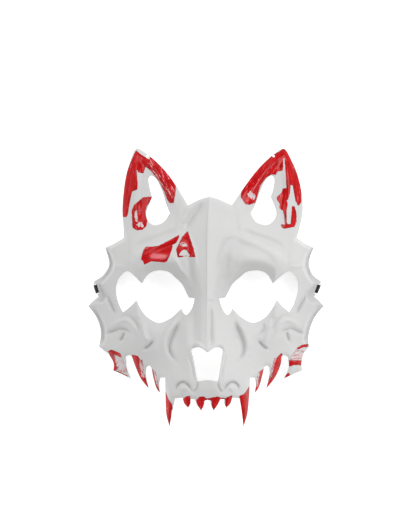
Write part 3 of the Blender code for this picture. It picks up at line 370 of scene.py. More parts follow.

# The paint job. brush is the angle of its strokes from +X in degrees, wear how far it is rubbed off
# or, for a painted highlight, how strong it is, and corners are the patch's corners in millimetres.
# Later rows lie over earlier ones.
PAINT = (
    # name, coat, brush, wear,
    #     corners
    ("left_ear_outer", FULL, 80, 0.10,
        ((-50.5, 98.9), (-54.3, 90.5), (-58.9, 78.3), (-61.5, 67.6), (-62.0, 55.4), (-60.1, 50.6),
         (-57.5, 50.4), (-56.2, 52.3), (-55.1, 60.0), (-53.2, 68.8), (-49.3, 70.5), (-49.1, 73.7),
         (-49.6, 81.4), (-49.9, 84.8), (-48.6, 82.5), (-45.0, 81.9), (-43.6, 86.3), (-41.0, 89.4),
         (-40.2, 91.7), (-46.7, 95.7), (-49.4, 98.1))),
    ("left_ear_inner", FULL, 118, 0.35,
        ((-40.2, 94.3), (-30.7, 88.6), (-24.2, 80.6), (-21.5, 73.7), (-21.9, 67.6), (-23.0, 60.7),
         (-26.1, 60.4), (-28.0, 63.0), (-29.9, 68.4), (-33.0, 74.5), (-36.0, 79.1), (-39.4, 83.5),
         (-42.9, 86.3), (-41.4, 89.8))),
    ("left_ear_low", FULL, 80, 0.12,
        ((-45.6, 64.9), (-38.9, 65.5), (-39.1, 63.0), (-42.5, 58.4), (-43.5, 53.9), (-42.0, 47.8),
         (-42.9, 43.8), (-45.8, 41.3), (-49.8, 41.0), (-53.0, 42.8), (-53.3, 49.3), (-53.6, 55.4),
         (-52.0, 59.2), (-49.8, 61.1), (-47.1, 63.4))),
    ("left_ear_low_scratch", WORN, 80, 0.9,
        ((-51.3, 54.6), (-50.0, 56.9), (-49.4, 52.3), (-48.8, 47.4), (-50.1, 46.6), (-51.4, 50.8))),
    ("left_ear_low_foot", WORN, 80, 0.85,
        ((-50.3, 45.1), (-47.5, 47.4), (-45.2, 45.8), (-44.8, 43.6), (-47.8, 43.2))),
    ("right_ear_inner", FULL, 62, 0.14,
        ((56.3, 100.3), (47.2, 94.7), (37.2, 85.6), (30.4, 77.5), (25.2, 68.4), (24.9, 64.6),
         (28.1, 60.0), (31.1, 59.2), (35.7, 60.9), (37.5, 67.6), (39.5, 73.7), (43.3, 78.9),
         (47.2, 81.2), (50.4, 80.9), (51.7, 83.5), (55.4, 84.0), (55.8, 91.3), (57.2, 97.4))),
    # Painted highlights: pink streaks along the ear ridges, where reflections fall
    ("right_ear_inner_painted_highlight", PAINTED_GLINT, 62, 0.45,
        ((47.6, 91.2), (48.6, 90.2), (38.0, 76.0), (31.0, 62.0), (29.2, 61.2), (34.0, 72.5))),
    ("left_ear_painted_highlight", PAINTED_GLINT, 80, 0.35,
        ((-53.2, 86.0), (-52.2, 86.0), (-54.6, 70.0), (-58.2, 54.0), (-59.4, 54.0), (-56.4, 70.0))),
    ("right_ear_speckle", WORN, 62, 0.75,
        ((29.6, 67.6), (31.9, 69.5), (34.2, 68.0), (36.1, 65.3), (33.4, 62.6), (31.5, 64.6))),
    ("right_ear_outer", FULL, 98, 0.10,
        ((55.9, 99.7), (59.4, 98.9), (64.0, 91.3), (67.2, 81.4), (68.9, 69.9), (68.8, 61.5),
         (66.4, 58.2), (64.4, 62.3), (63.3, 67.6), (62.3, 73.6), (61.0, 73.6), (60.4, 67.6),
         (59.1, 63.0), (57.2, 62.6), (56.9, 70.7), (56.3, 81.4), (55.8, 91.3))),
    ("right_ear_zigzag", FULL, 95, 0.12,
        ((57.2, 71.4), (55.3, 71.4), (54.4, 68.4), (50.8, 64.9), (51.0, 63.0), (53.0, 60.1),
         (52.7, 56.9), (55.4, 55.0), (56.3, 50.8), (56.6, 45.1), (53.7, 45.8), (54.2, 43.2),
         (55.9, 42.0), (63.6, 43.4), (65.3, 47.4), (65.2, 53.9), (64.0, 58.1), (61.8, 59.2),
         (61.5, 53.9), (60.8, 45.8), (58.3, 45.6), (58.0, 54.6), (59.0, 60.7), (57.5, 63.0))),
    # Painted highlight: a white strip left unpainted along the right ear's outer ridge, where a reflection
    # falls
    ("right_ear_ridge_painted_highlight", BARE, 95, 0,
        ((55.6, 92.8), (56.5, 92.8), (57.2, 82.9), (57.9, 71.4), (56.9, 71.4), (56.1, 81.4))),
    ("brow_long", FULL, 20, 0.10,
        ((-43.2, 29.4), (-38.6, 29.4), (-33.7, 30.1), (-26.3, 34.0), (-18.8, 38.1), (-19.5, 35.3),
         (-21.4, 31.9), (-24.2, 30.2), (-23.8, 28.9), (-24.7, 26.3), (-26.1, 22.2), (-27.7, 19.1),
         (-29.3, 17.9), (-34.5, 18.2), (-39.1, 18.7), (-42.2, 17.2), (-44.5, 16.2), (-45.1, 18.6),
         (-46.8, 20.1), (-46.0, 23.7), (-45.0, 26.8))),
    # Painted highlight: a pink patch where a reflection falls on the left brow
    ("brow_long_painted_highlight", PAINTED_GLINT, 10, 0.62,
        ((-40.9, 22.7), (-38.1, 25.3), (-32.9, 24.8), (-27.3, 23.7), (-27.3, 21.7), (-29.3, 19.6),
         (-34.5, 19.6), (-40.1, 20.1))),
    ("brow_short", FULL, 100, 0.10,
        ((-13.1, 40.8), (-11.2, 35.0), (-8.8, 27.8), (-7.4, 21.6), (-10.8, 21.7), (-13.9, 22.3),
         (-20.3, 21.3), (-21.6, 27.3), (-19.6, 31.4), (-17.0, 36.6))),
    ("brow_short_lens", BARE, 100, 0,
        ((-19.5, 22.8), (-18.4, 25.2), (-16.0, 27.1), (-13.9, 26.6), (-12.0, 23.8), (-11.5, 22.5),
         (-14.4, 23.0))),
    ("brow_short_top", WORN, 20, 0.7,
        ((-19.2, 31.5), (-17.0, 33.2), (-13.9, 32.2), (-12.9, 28.9), (-16.5, 28.9))),
    ("left_molar", FULL, 100, 0.05,
        ((-53.5, -48.3), (-48.8, -49.2), (-46.5, -53.6), (-45.2, -57.1), (-44.2, -62.8),
         (-42.5, -68.1), (-40.0, -74.0), (-45.6, -73.0), (-51.0, -64.9), (-53.5, -55.7))),
    ("left_molar_rub", WORN, 110, 0.7,
        ((-48.4, -52.0), (-45.6, -52.0), (-44.0, -66.0), (-46.6, -64.0))),
    ("left_premolar", FULL, 105, 0.15,
        ((-40.6, -57.5), (-39.1, -57.5), (-38.0, -60.3), (-36.6, -64.2), (-35.2, -68.4),
         (-32.9, -75.4), (-35.3, -74.8), (-39.6, -64.9))),
    ("left_premolar_rub", WORN, 110, 0.7,
        ((-38.6, -59.0), (-36.6, -59.0), (-33.5, -72.0), (-35.6, -70.0))),
    ("left_canine", FULL, 95, 0.08,
        ((-29.7, -74.2), (-28.6, -75.4), (-27.0, -79.7), (-24.4, -83.3), (-23.8, -86.8),
         (-24.9, -89.1), (-24.7, -96.7), (-26.9, -101), (-29.7, -100))),
    ("left_incisor", FULL, 95, 0.10,
        ((-16.6, -79.7), (-14.0, -77.6), (-11.2, -77.3), (-10.6, -84.0), (-12.4, -88), (-15.6, -84.0))),
    ("left_middle_incisor", FULL, 95, 0.10,
        ((-7.1, -80.5), (-4.8, -78.0), (-1.1, -77.8), (0.3, -80.5), (-1.1, -86.8), (-3.6, -89.5),
         (-6.4, -84.0))),
    ("gum_line", FULL, 0, 0.0,
        ((-1.5, -78.7), (1.5, -79.3), (4.5, -78.6), (8.5, -77.8), (10.5, -78.8), (13.9, -78.9),
         (13.9, -79.7), (10.5, -80.5), (1.5, -81.0), (-1.5, -80.4))),
    ("right_middle_incisor", FULL, 85, 0.10,
        ((3.9, -80.3), (6.0, -78.6), (8.7, -78.2), (11.1, -78.9), (8.5, -84.0), (6.0, -89.5),
         (4.0, -85.2))),
    ("right_incisor", FULL, 85, 0.10,
        ((13.7, -79.4), (14.9, -78.4), (19.2, -76.7), (18.0, -82.0), (16.0, -87.0), (13.6, -85.7))),
    ("right_canine", FULL, 88, 0.06,
        ((31.1, -69.9), (31.9, -86.7), (29.2, -96.2), (27.9, -101), (25.3, -101), (25.3, -93.7),
         (23.7, -77.8), (27.4, -76.0), (29.4, -73.3))),
    ("right_premolar", FULL, 75, 0.15,
        ((41.8, -58.0), (41.4, -62.8), (39.2, -69.4), (36.9, -75.4), (33.5, -77.5), (33.3, -75.1),
         (36.3, -70.5), (37.8, -65.0), (36.9, -63.4), (38.1, -60.7))),
    ("right_molar_rub", WORN, 65, 0.75,
        ((49.2, -50.6), (50.6, -51.6), (46.2, -68.0), (44.6, -67.2))),
    ("right_premolar_rub", WORN, 65, 0.75,
        ((37.2, -60.0), (38.6, -61.0), (37.0, -71.5), (35.8, -70.6))),
    ("right_molar", FULL, 72, 0.05,
        ((54.7, -46.5), (55.3, -49.7), (53.4, -59.0), (48.9, -67.7), (44.3, -74.5), (41.6, -73.5),
         (45.3, -67.2), (48.1, -62.3), (48.7, -57.4), (49.6, -53.0), (51.5, -49.7))),
    ("left_blade_top", FULL, 160, 0.2,
        ((-71.4, -46.2), (-68.3, -44.8), (-65.4, -45.8), (-61.7, -47.5), (-60.4, -50.3),
         (-63.3, -49.5), (-65.4, -48.7), (-67.6, -48.6))),
    ("left_blade_edge", FULL, 100, 0.1,
        ((-70.2, -46.5), (-66.9, -47.2), (-65.8, -50.8), (-63.9, -53.2), (-64.0, -55.5),
         (-64.7, -55.9), (-64.0, -59.2), (-65.4, -60.1), (-68.4, -60.8), (-68.4, -54.3), (-69.4, -49.7))),
    ("left_blade_face", WORN, 60, 0.85,
        ((-66.1, -48.6), (-60.8, -50.6), (-59.4, -53.2), (-57.5, -58.5), (-56.6, -61.4),
         (-58.0, -61.4), (-64.0, -59.6))),
    ("left_blade_foot", FULL, -18, 0.0,
        ((-67.2, -59.2), (-65.8, -59.9), (-62.6, -60.8), (-56.1, -63.7), (-56.4, -65.5),
         (-62.6, -62.9), (-67.2, -61.5))),
    ("right_blade_top", FULL, 25, 0.1,
        ((64.5, -45.2), (66.1, -43.2), (68.9, -41.6), (73.1, -40.6), (74.3, -42.4), (72.1, -43.4),
         (70.5, -43.2), (67.7, -44.4))),
    ("right_blade_face", WORN, 12, 0.8,
        ((64.7, -45.4), (68.9, -45.2), (70.9, -46.6), (69.7, -50.6), (68.9, -52.6), (60.5, -52.6),
         (60.3, -51.0), (62.1, -48.6))),
    ("right_blade_band", FULL, 5, 0.15,
        ((59.5, -52.6), (69.5, -52.6), (69.0, -57.0), (67.9, -56.2), (64.1, -56.0), (60.7, -57.0),
         (59.5, -57.0))),
    ("right_blade_tip", FULL, 45, 0.15,
        ((59.7, -61.0), (60.7, -63.4), (58.8, -65.5), (56.6, -67.5), (55.0, -66.5), (58.0, -62.6))),
)


def linear(hex_colour: str) -> tuple[float, float, float, float]:
    """Turns an sRGB colour to linear light.

    Args:
        hex_colour: Six hexadecimal digits after a hash.

    Returns:
        Linear red, green and blue, and an alpha of 1.
    """
    parts = [int(hex_colour[i : i + 2], 16) / 255 for i in (1, 3, 5)]
    red, green, blue = (p / 12.92 if p <= 0.04045 else ((p + 0.055) / 1.055) ** 2.4 for p in parts)
    return red, green, blue, 1.0


def add_node(
    tree: bpy.types.NodeTree, kind: str, links: dict[str | int, object] | None = None, **settings: object
) -> bpy.types.Node:
    """Adds a shader node with its settings, socket values and links.

    Args:
        tree: The node tree.
        kind: The node's type, without the ShaderNode at its front.
        links: Input socket name or number to a value, or to the output socket that feeds it.
        settings: Properties of the node.

    Returns:
        The new node.
    """
    node = tree.nodes.new("ShaderNode" + kind)
    for name, value in settings.items():
        setattr(node, name, value)
    for name, value in (links or {}).items():
        if isinstance(value, bpy.types.NodeSocket):
            tree.links.new(value, node.inputs[name])
        else:
            node.inputs[name].default_value = value
    return node


def ease(t: np.ndarray) -> np.ndarray:
    """0 below 0, 1 above 1, and 3t squared less 2t cubed between."""
    t = np.clip(t, 0, 1)
    return t * t * (3 - 2 * t)


def hermite(knots: np.ndarray, values: np.ndarray, at: np.ndarray) -> np.ndarray:
    """Reads the smooth curve through values at rising knots, cubic between each two of them.

    Args:
        knots: Rising places of the values.
        values: One value or row for each knot.
        at: Places to read the curve at.

    Returns:
        The curve's values there, one row for each place.
    """
    knots, values = np.asarray(knots, float), np.asarray(values, float)
    slopes = np.gradient(values, knots, axis=0)
    at = np.clip(at, knots[0], knots[-1])
    i = np.clip(np.searchsorted(knots, at) - 1, 0, len(knots) - 2)
    span = knots[i + 1] - knots[i]
    t = (at - knots[i]) / span
    if values.ndim > 1:
        t, span = t[:, None], span[:, None]
    ahead = t * t * (3 - 2 * t)
    bend = t * (1 - t) ** 2 * slopes[i] - t * t * (1 - t) * slopes[i + 1]
    return values[i] * (1 - ahead) + values[i + 1] * ahead + span * bend


def resample(points: np.ndarray, spacing: float) -> np.ndarray:
    """Evenly spaced points on the smooth curve through points.

    Args:
        points: Rows of x, y and any further numbers.
        spacing: Distance between the new points.

    Returns:
        Rows like those of points.
    """
    points = np.asarray(points, float)
    steps = np.linalg.norm(np.diff(points[:, :2], axis=0), axis=1)
    knots = np.concatenate([[0], np.cumsum(np.sqrt(steps))])
    count = max(1, math.ceil(steps.sum() / spacing))
    if len(points) == 2:
        return np.linspace(points[0], points[1], count + 1)
    dense = hermite(knots, points, np.linspace(0, knots[-1], 40 * len(points)))
    travelled = np.concatenate([[0], np.cumsum(np.linalg.norm(np.diff(dense[:, :2], axis=0), axis=1))])
    wanted = np.linspace(0, travelled[-1], count + 1)
    return np.stack([np.interp(wanted, travelled, column) for column in dense.T], axis=1)


def nearest(
    points: np.ndarray, line: np.ndarray, closed: bool = True
) -> tuple[np.ndarray, np.ndarray, np.ndarray]:
    """Finds the nearest place on a line of straight runs for each point.

    Args:
        points: Rows of x and y.
        line: Rows of x, y and further numbers.
        closed: Whether the line's end joins its start.

    Returns:
        The distances, the line's further numbers at the nearest places, and how far along they are.
    """
    starts, ends = (line, np.roll(line, -1, axis=0)) if closed else (line[:-1], line[1:])
    side = (ends - starts)[:, :2]
    squared = np.maximum((side**2).sum(-1), 1e-18)
    found = []
    for first in range(0, len(points), BLOCK):
        offset = points[first : first + BLOCK, None, :2] - starts[None, :, :2]
        t = np.clip((offset * side).sum(-1) / squared, 0, 1)
        gaps = ((offset - t[..., None] * side) ** 2).sum(-1)
        best = gaps.argmin(axis=1)
        rows = np.arange(len(best))
        found.append((np.sqrt(gaps[rows, best]), best, t[rows, best]))
    gap, best, share = (np.concatenate(parts) for parts in zip(*found))
    numbers = starts[best, 2:] * (1 - share[:, None]) + ends[best, 2:] * share[:, None]
    return gap, numbers, (best + share) / len(starts)


def inside(points: np.ndarray, loop: np.ndarray) -> np.ndarray:
    """Tells which points a closed loop holds, by counting its sides to the right of each.

    Args:
        points: Rows of x and y.
        loop: Rows whose first columns are x and y.

    Returns:
        True for each point that is inside.
    """
    x0, y0 = loop[:, 0], loop[:, 1]
    x1, y1 = np.roll(x0, -1), np.roll(y0, -1)
    rise = np.where(y1 == y0, 1, y1 - y0)
    held = []
    for first in range(0, len(points), BLOCK):
        x, y = points[first : first + BLOCK, 0][:, None], points[first : first + BLOCK, 1][:, None]
        crossing = ((y0 > y) != (y1 > y)) & (x < (x1 - x0) * (y - y0) / rise + x0)
        held.append(crossing.sum(axis=1) % 2 == 1)
    return np.concatenate(held)


def mirrored(line: np.ndarray) -> np.ndarray:
    """The same line on the other half, in the opposite order."""
    other = line[::-1].copy()
    other[:, 0] *= -1
    return other


def offset_inward(loop: np.ndarray, depth: float | np.ndarray, sign: int) -> np.ndarray:
    """Moves a loop's points square to it.

    Args:
        loop: Rows whose first columns are x and y.
        depth: How far, one number or one for each point.
        sign: 1 towards the loop's right, -1 towards its left.

    Returns:
        Rows of x and y.
    """
    side = np.roll(loop, -1, axis=0)[:, :2] - np.roll(loop, 1, axis=0)[:, :2]
    inward = np.stack([side[:, 1], -side[:, 0]], axis=1) / np.linalg.norm(side, axis=1)[:, None]
    return loop[:, :2] + sign * inward * np.reshape(depth, (-1, 1))


def turned_area(loop: np.ndarray) -> float:
    """Twice the loop's area, positive where it runs anticlockwise."""
    x, y = loop[:, 0], loop[:, 1]
    return float((x * np.roll(y, -1) - y * np.roll(x, -1)).sum())


def mesh_object(
    name: str, vertices: np.ndarray, faces: list, material: bpy.types.Material, sharp: float = 40
) -> bpy.types.Object:
    """Makes a smooth shaded object at the origin.

    Args:
        name: The object's name.
        vertices: Rows of x, y and z.
        faces: Lists of vertex numbers.
        material: Its material.
        sharp: The angle in degrees from which an edge stays sharp.

    Returns:
        The linked object.
    """
    mesh = bpy.data.meshes.new(name)
    mesh.from_pydata(vertices.tolist(), [], faces)
    mesh.validate()
    mesh.shade_smooth()
    mesh.set_sharp_from_angle(angle=math.radians(sharp))
    mesh.materials.append(material)
    piece = bpy.data.objects.new(name, mesh)
    bpy.context.scene.collection.objects.link(piece)
    return piece


@dataclass(frozen=True)
class RubbedPlastic:
    """White polystyrene, injection moulded in a satin mould, with red solvent paint that was brushed
    on and half rubbed off: the plastic has a faint orange peel and a soft sheen, and the paint is
    glossy, dark where it pooled at its edges and pink where it is rubbed thinly. Highlights on the
    ear ridges and the left brow are painted into the colour as pink, and one on the right ear as a
    strip left white."""

    plastic: str = "#CCCCCB"
    plastic_shade: str = "#C6C6C6"
    paint: str = "#D2030A"
    paint_dark: str = "#9C0208"
    paint_pool: str = "#5E0106"
    # Pink of paint rubbed thinly, also laid as the painted highlights
    paint_thin_and_glint: str = "#E88088"
    plastic_roughness: float = 0.44
    paint_roughness: float = 0.17
    refraction: float = 1.5
    gloss: float = 0.24
    peel: float = 1.6
    ragged: float = 1.1
    stroke: float = 0.8
    paint_film: float = 0.12 * MM

    def material(self) -> bpy.types.Material:
        """Builds the node tree.

        Returns:
            The material, which reads the attributes paint, wear, painted_glint, the share of painted
            highlight, and brush, the place along and across the strokes in millimetres.
        """
        made = bpy.data.materials.new("rubbed_white_polystyrene")
        made.use_nodes = True
        tree = made.node_tree
        shader = tree.nodes["Principled BSDF"]
        place = add_node(tree, "TexCoord").outputs["Object"]
        depth = add_node(tree, "Attribute", attribute_name="paint").outputs["Fac"]
        wear = add_node(tree, "Attribute", attribute_name="wear").outputs["Fac"]
        brush = add_node(tree, "Attribute", attribute_name="brush").outputs["Vector"]
        rag = add_node(
            tree, "TexNoise", {"Vector": place, "Scale": 1000 / self.ragged, "Detail": 3.0, "Roughness": 0.6}
        )
        shift = add_node(tree, "Math", {0: rag.outputs["Fac"], 1: 0.5}, operation="SUBTRACT")
        edge = add_node(tree, "Math", {0: shift.outputs[0], 1: 0.9, 2: depth}, operation="MULTIPLY_ADD")
        cover = add_node(
            tree, "MapRange", {"Value": edge.outputs[0], "From Min": -0.06, "From Max": 0.16}
        )
        strokes = add_node(tree, "Mapping", {"Vector": brush, "Scale": (0.16, 1 / self.stroke, 1.0)})
        streak = add_node(
            tree, "TexNoise", {"Vector": strokes.outputs[0], "Scale": 1.0, "Detail": 5.0, "Roughness": 0.62}
        )
        grit = add_node(
            tree, "TexNoise", {"Vector": place, "Scale": 1000 / 1.4, "Detail": 4.0, "Roughness": 0.7}
        )
        mixed = add_node(
            tree, "Math", {0: grit.outputs["Fac"], 1: 0.45, 2: streak.outputs["Fac"]},
            operation="MULTIPLY_ADD",
        )
        limit = add_node(tree, "Math", {0: wear, 1: -0.42, 2: 1.0}, operation="MULTIPLY_ADD")
        over = add_node(tree, "Math", {0: mixed.outputs[0], 1: limit.outputs[0]}, operation="SUBTRACT")
        rubbed = add_node(tree, "MapRange", {"Value": over.outputs[0], "From Min": -0.05, "From Max": 0.07})
        left = add_node(tree, "Math", {0: 1.0, 1: rubbed.outputs[0]}, operation="SUBTRACT")
        coat = add_node(tree, "Math", {0: cover.outputs[0], 1: left.outputs[0]}, operation="MULTIPLY")
        scuffed = add_node(tree, "MapRange", {"Value": over.outputs[0], "From Min": -0.09, "From Max": 0.02})
        # Painted highlight share, joined with the pink of rubbed paint
        glint_share = add_node(tree, "Attribute", attribute_name="painted_glint").outputs["Fac"]
        thin_paint_and_glint = add_node(tree, "Math", {0: scuffed.outputs[0], 1: glint_share}, operation="MAXIMUM")
        pooled = add_node(tree, "MapRange", {"Value": edge.outputs[0], "From Min": 0.7, "From Max": 0.15})
        thick = add_node(
            tree, "MapRange", {"Value": streak.outputs["Fac"], "From Min": 0.40, "From Max": 0.62}
        )
        deep = add_node(
            tree, "Mix", {"Factor": thick.outputs[0], 6: linear(self.paint_dark), 7: linear(self.paint)},
            data_type="RGBA",
        )
        body = add_node(
            tree, "Mix", {"Factor": thin_paint_and_glint.outputs[0], 6: deep.outputs[2], 7: linear(self.paint_thin_and_glint)},
            data_type="RGBA",
        )
        pool_share = add_node(tree, "Math", {0: pooled.outputs[0], 1: 0.5}, operation="MULTIPLY")
        rimmed = add_node(
            tree, "Mix", {"Factor": pool_share.outputs[0], 6: body.outputs[2], 7: linear(self.paint_pool)},
            data_type="RGBA",
        )
        cloud = add_node(tree, "TexNoise", {"Vector": place, "Scale": 1000 / 24, "Detail": 2.0})
        white = add_node(
            tree, "Mix",
            {"Factor": cloud.outputs["Fac"], 6: linear(self.plastic), 7: linear(self.plastic_shade)},
            data_type="RGBA",
        )
        colour = add_node(
            tree, "Mix", {"Factor": coat.outputs[0], 6: white.outputs[2], 7: rimmed.outputs[2]},
            data_type="RGBA",
        )
        rough = add_node(
            tree, "MapRange",
            {"Value": coat.outputs[0], "To Min": self.plastic_roughness, "To Max": self.paint_roughness},
        )
        peel = add_node(tree, "TexNoise", {"Vector": place, "Scale": 1000 / self.peel, "Detail": 2.0})
        peel_bump = add_node(
            tree, "Bump", {"Height": peel.outputs["Fac"], "Strength": 0.06, "Distance": 0.2 * MM}
        )
        paint_bump = add_node(
            tree, "Bump",
            {"Height": coat.outputs[0], "Strength": 0.5, "Distance": self.paint_film,
             "Normal": peel_bump.outputs[0]},
        )
        tree.links.new(colour.outputs[2], shader.inputs["Base Color"])
        tree.links.new(rough.outputs[0], shader.inputs["Roughness"])
        tree.links.new(paint_bump.outputs[0], shader.inputs["Normal"])
        shader.inputs["IOR"].default_value = self.refraction
        shader.inputs["Specular IOR Level"].default_value = self.gloss
        return made


@dataclass(frozen=True)
class WovenElastic:
    """Black polyester yarn woven over rubber threads: a matt band with fine lengthwise ribs and a
    short cross weave that catches a little light."""

    yarn: str = "#1B1B1D"
    yarn_light: str = "#3A3A3E"
    roughness: float = 0.82
    rib: float = 0.62
    pick: float = 0.45

    def material(self) -> bpy.types.Material:
        """Builds the node tree.

        Returns:
            The material, which reads the UV map strap, in millimetres across and along.
        """
        made = bpy.data.materials.new("black_woven_elastic")
        made.use_nodes = True
        tree = made.node_tree
        shader = tree.nodes["Principled BSDF"]
        place = add_node(tree, "UVMap", uv_map="strap").outputs["UV"]
        ribs = add_node(
            tree, "TexWave", {"Vector": place, "Scale": math.pi / 10 / self.rib, "Distortion": 0.3},
            bands_direction="X",
        )
        picks = add_node(
            tree, "TexWave", {"Vector": place, "Scale": math.pi / 10 / self.pick, "Distortion": 0.6},
            bands_direction="Y",
        )
        weave = add_node(
            tree, "Math", {0: ribs.outputs["Fac"], 1: picks.outputs["Fac"]}, operation="MULTIPLY"
        )
        colour = add_node(
            tree, "Mix", {"Factor": weave.outputs[0], 6: linear(self.yarn), 7: linear(self.yarn_light)},
            data_type="RGBA",
        )
        bump = add_node(tree, "Bump", {"Height": weave.outputs[0], "Strength": 0.6, "Distance": 0.1 * MM})
        tree.links.new(colour.outputs[2], shader.inputs["Base Color"])
        tree.links.new(bump.outputs[0], shader.inputs["Normal"])
        shader.inputs["Roughness"].default_value = self.roughness
        shader.inputs["Sheen Weight"].default_value = 0.25
        return made


@dataclass(frozen=True)
class PaleFloor:
    """Matt white board lit through from below, as a product photographer's light table, so that
    shadows on it stay pale."""

    colour: str = "#F4F4F4"
    roughness: float = 0.7
    glow: float = 0.48

    def material(self) -> bpy.types.Material:
        """Builds the floor's material."""
        made = bpy.data.materials.new("white_laminated_board")
        made.use_nodes = True
        tree = made.node_tree
        shader = tree.nodes["Principled BSDF"]
        place = add_node(tree, "TexCoord").outputs["Object"]
        grain = add_node(tree, "TexNoise", {"Vector": place, "Scale": 60.0, "Detail": 2.0})
        rough = add_node(
            tree, "MapRange",
            {"Value": grain.outputs["Fac"], "To Min": self.roughness - 0.05, "To Max": self.roughness + 0.05},
        )
        tree.links.new(rough.outputs[0], shader.inputs["Roughness"])
        shader.inputs["Base Color"].default_value = linear(self.colour)
        shader.inputs["Emission Color"].default_value = (1, 1, 1, 1)
        shader.inputs["Emission Strength"].default_value = self.glow
        return made


@dataclass
class SkullForm:
    """The face's form over the plan: its edges, its holes and its heights."""

    width: float = 170 * MM
    height: float = 200 * MM
    depth: float = 66 * MM
    wall: float = 1.5 * MM
    flange: float = 2.0 * MM
    step: float = 2.6 * MM
    tab_lift: float = 3.2 * MM
    slot_length: float = 8.0 * MM
    slot_width: float = 1.4 * MM
    rail: float = 0.7 * MM
    slot_land: float = 1.4 * MM
    edge_drop: float = 1.2 * MM
    edge_width: float = 2.6 * MM
    socket_drop: float = 5.5 * MM
    socket_width: float = 6.8 * MM
    fold_height: float = 3.0 * MM
    fold_width: float = 4.0 * MM
    fold_end: float = 0.25
    ear_tip_hole: float = 1.6 * MM
    ear_tip_hole_place: tuple[float, float] = (0.534, 0.946)
    edge_spacing: float = 0.6 * MM
    edge_radius: float = 0.5 * MM
    outline: np.ndarray = field(init=False)
    holes: list[np.ndarray] = field(init=False)

    def __post_init__(self) -> None:
        """Works out the outline and the holes."""
        half = self.line(OUTLINE)
        self.outline = np.concatenate([half, mirrored(half)[1:-1]])
        nose = self.line(NOSE_HOLE)
        self.holes = [np.concatenate([nose, mirrored(nose)[1:-1]])]
        for rows in (EAR_HOLE, EYE_HOLE):
            start = next(i for i, row in enumerate(rows) if row[3] is CORNER)
            hole = self.line(rows[start:] + rows[: start + 1])[:-1]
            self.holes += [hole, mirrored(hole)]
        for hole in (self.slot(), self.tip_hole()):
            self.holes += [hole, mirrored(hole)]

    def plan(self, across: np.ndarray | float, along: np.ndarray | float) -> np.ndarray:
        """The place in the even plan of shares across and along."""
        return np.stack([np.asarray(across) * self.width / 2, np.asarray(along) * self.height / 2], axis=-1)

    def line(self, rows: tuple) -> np.ndarray:
        """A line through an outline's rows, curved between its corners.

        Args:
            rows: Rows of one of the outline tables.

        Returns:
            Rows of x, y and the table's further numbers.
        """
        table = np.array([(*self.plan(row[1], row[2]), *row[4:]) for row in rows])
        breaks = [0] + [i for i in range(1, len(rows) - 1) if rows[i][3] is CORNER] + [len(rows) - 1]
        runs = [resample(table[a : b + 1], self.edge_spacing) for a, b in zip(breaks, breaks[1:])]
        line = np.concatenate([runs[0]] + [run[1:] for run in runs[1:]])
        line[:, 2:] = np.clip(line[:, 2:], table[:, 2:].min(axis=0), table[:, 2:].max(axis=0))
        return line

    def slot_frame(self) -> tuple[np.ndarray, np.ndarray, np.ndarray]:
        """Finds where a slot lies.

        Returns:
            Its middle, the direction along the rail and the direction out across it.
        """
        named = {row[0]: self.plan(row[1], row[2]) for row in OUTLINE}
        along = named["tab_top"] - named["tab_foot"]
        along /= np.linalg.norm(along)
        out = np.array([along[1], -along[0]])
        middle = (named["tab_top"] + named["tab_foot"]) / 2
        edge = middle + out * np.dot(named["tab_side"] - middle, out)
        return edge - out * (self.rail + self.slot_width / 2), along, out

    def slot(self) -> np.ndarray:
        """The slot's outline: two straight sides and two half circles."""
        middle, along, out = self.slot_frame()
        radius = self.slot_width / 2
        turns = np.radians(np.linspace(-90, 90, 13))
        end = (self.slot_length / 2 - radius + radius * np.cos(turns))[:, None] * along
        end = end + (radius * np.sin(turns))[:, None] * out
        return np.concatenate([middle + end, middle - end])

    def tip_hole(self) -> np.ndarray:
        """The small round hole in the ear's tip."""
        turns = np.linspace(0, 2 * math.pi, 20, endpoint=False)
        ring = np.stack([np.cos(turns), np.sin(turns)], axis=1)
        return self.plan(*self.ear_tip_hole_place) + self.ear_tip_hole / 2 * ring

    def flat_width(self, flange: np.ndarray, tab: np.ndarray) -> np.ndarray:
        """Width of the flat strip along the edge: the flange, or the tab that holds the slot."""
        return flange * self.flange * (1 - tab) + tab * (self.rail + self.slot_width + self.slot_land)

    def general(self, points: np.ndarray) -> np.ndarray:
        """Height of the smooth surface through the sections.

        Args:
            points: Rows of x and y in the even plan.

        Returns:
            Heights, from a cubic across each section and a cubic from section to section.
        """
        across = np.abs(points[:, 0]) / (self.width / 2)
        along = points[:, 1] / (self.height / 2)
        rows = sorted(SECTIONS, key=lambda row: row[1])
        knots = np.array([row[1] for row in rows])
        table = hermite(SECTION_ACROSS, np.array([row[2] for row in rows]).T, across)
        slopes = np.gradient(table, knots, axis=1)
        at = np.clip(along, knots[0], knots[-1])
        i = np.clip(np.searchsorted(knots, at) - 1, 0, len(knots) - 2)
        every = np.arange(len(points))
        span = knots[i + 1] - knots[i]
        t = (at - knots[i]) / span
        ahead = t * t * (3 - 2 * t)
        bend = t * (1 - t) ** 2 * slopes[every, i] - t * t * (1 - t) * slopes[every, i + 1]
        return self.depth * (table[every, i] * (1 - ahead) + table[every, i + 1] * ahead + span * bend)

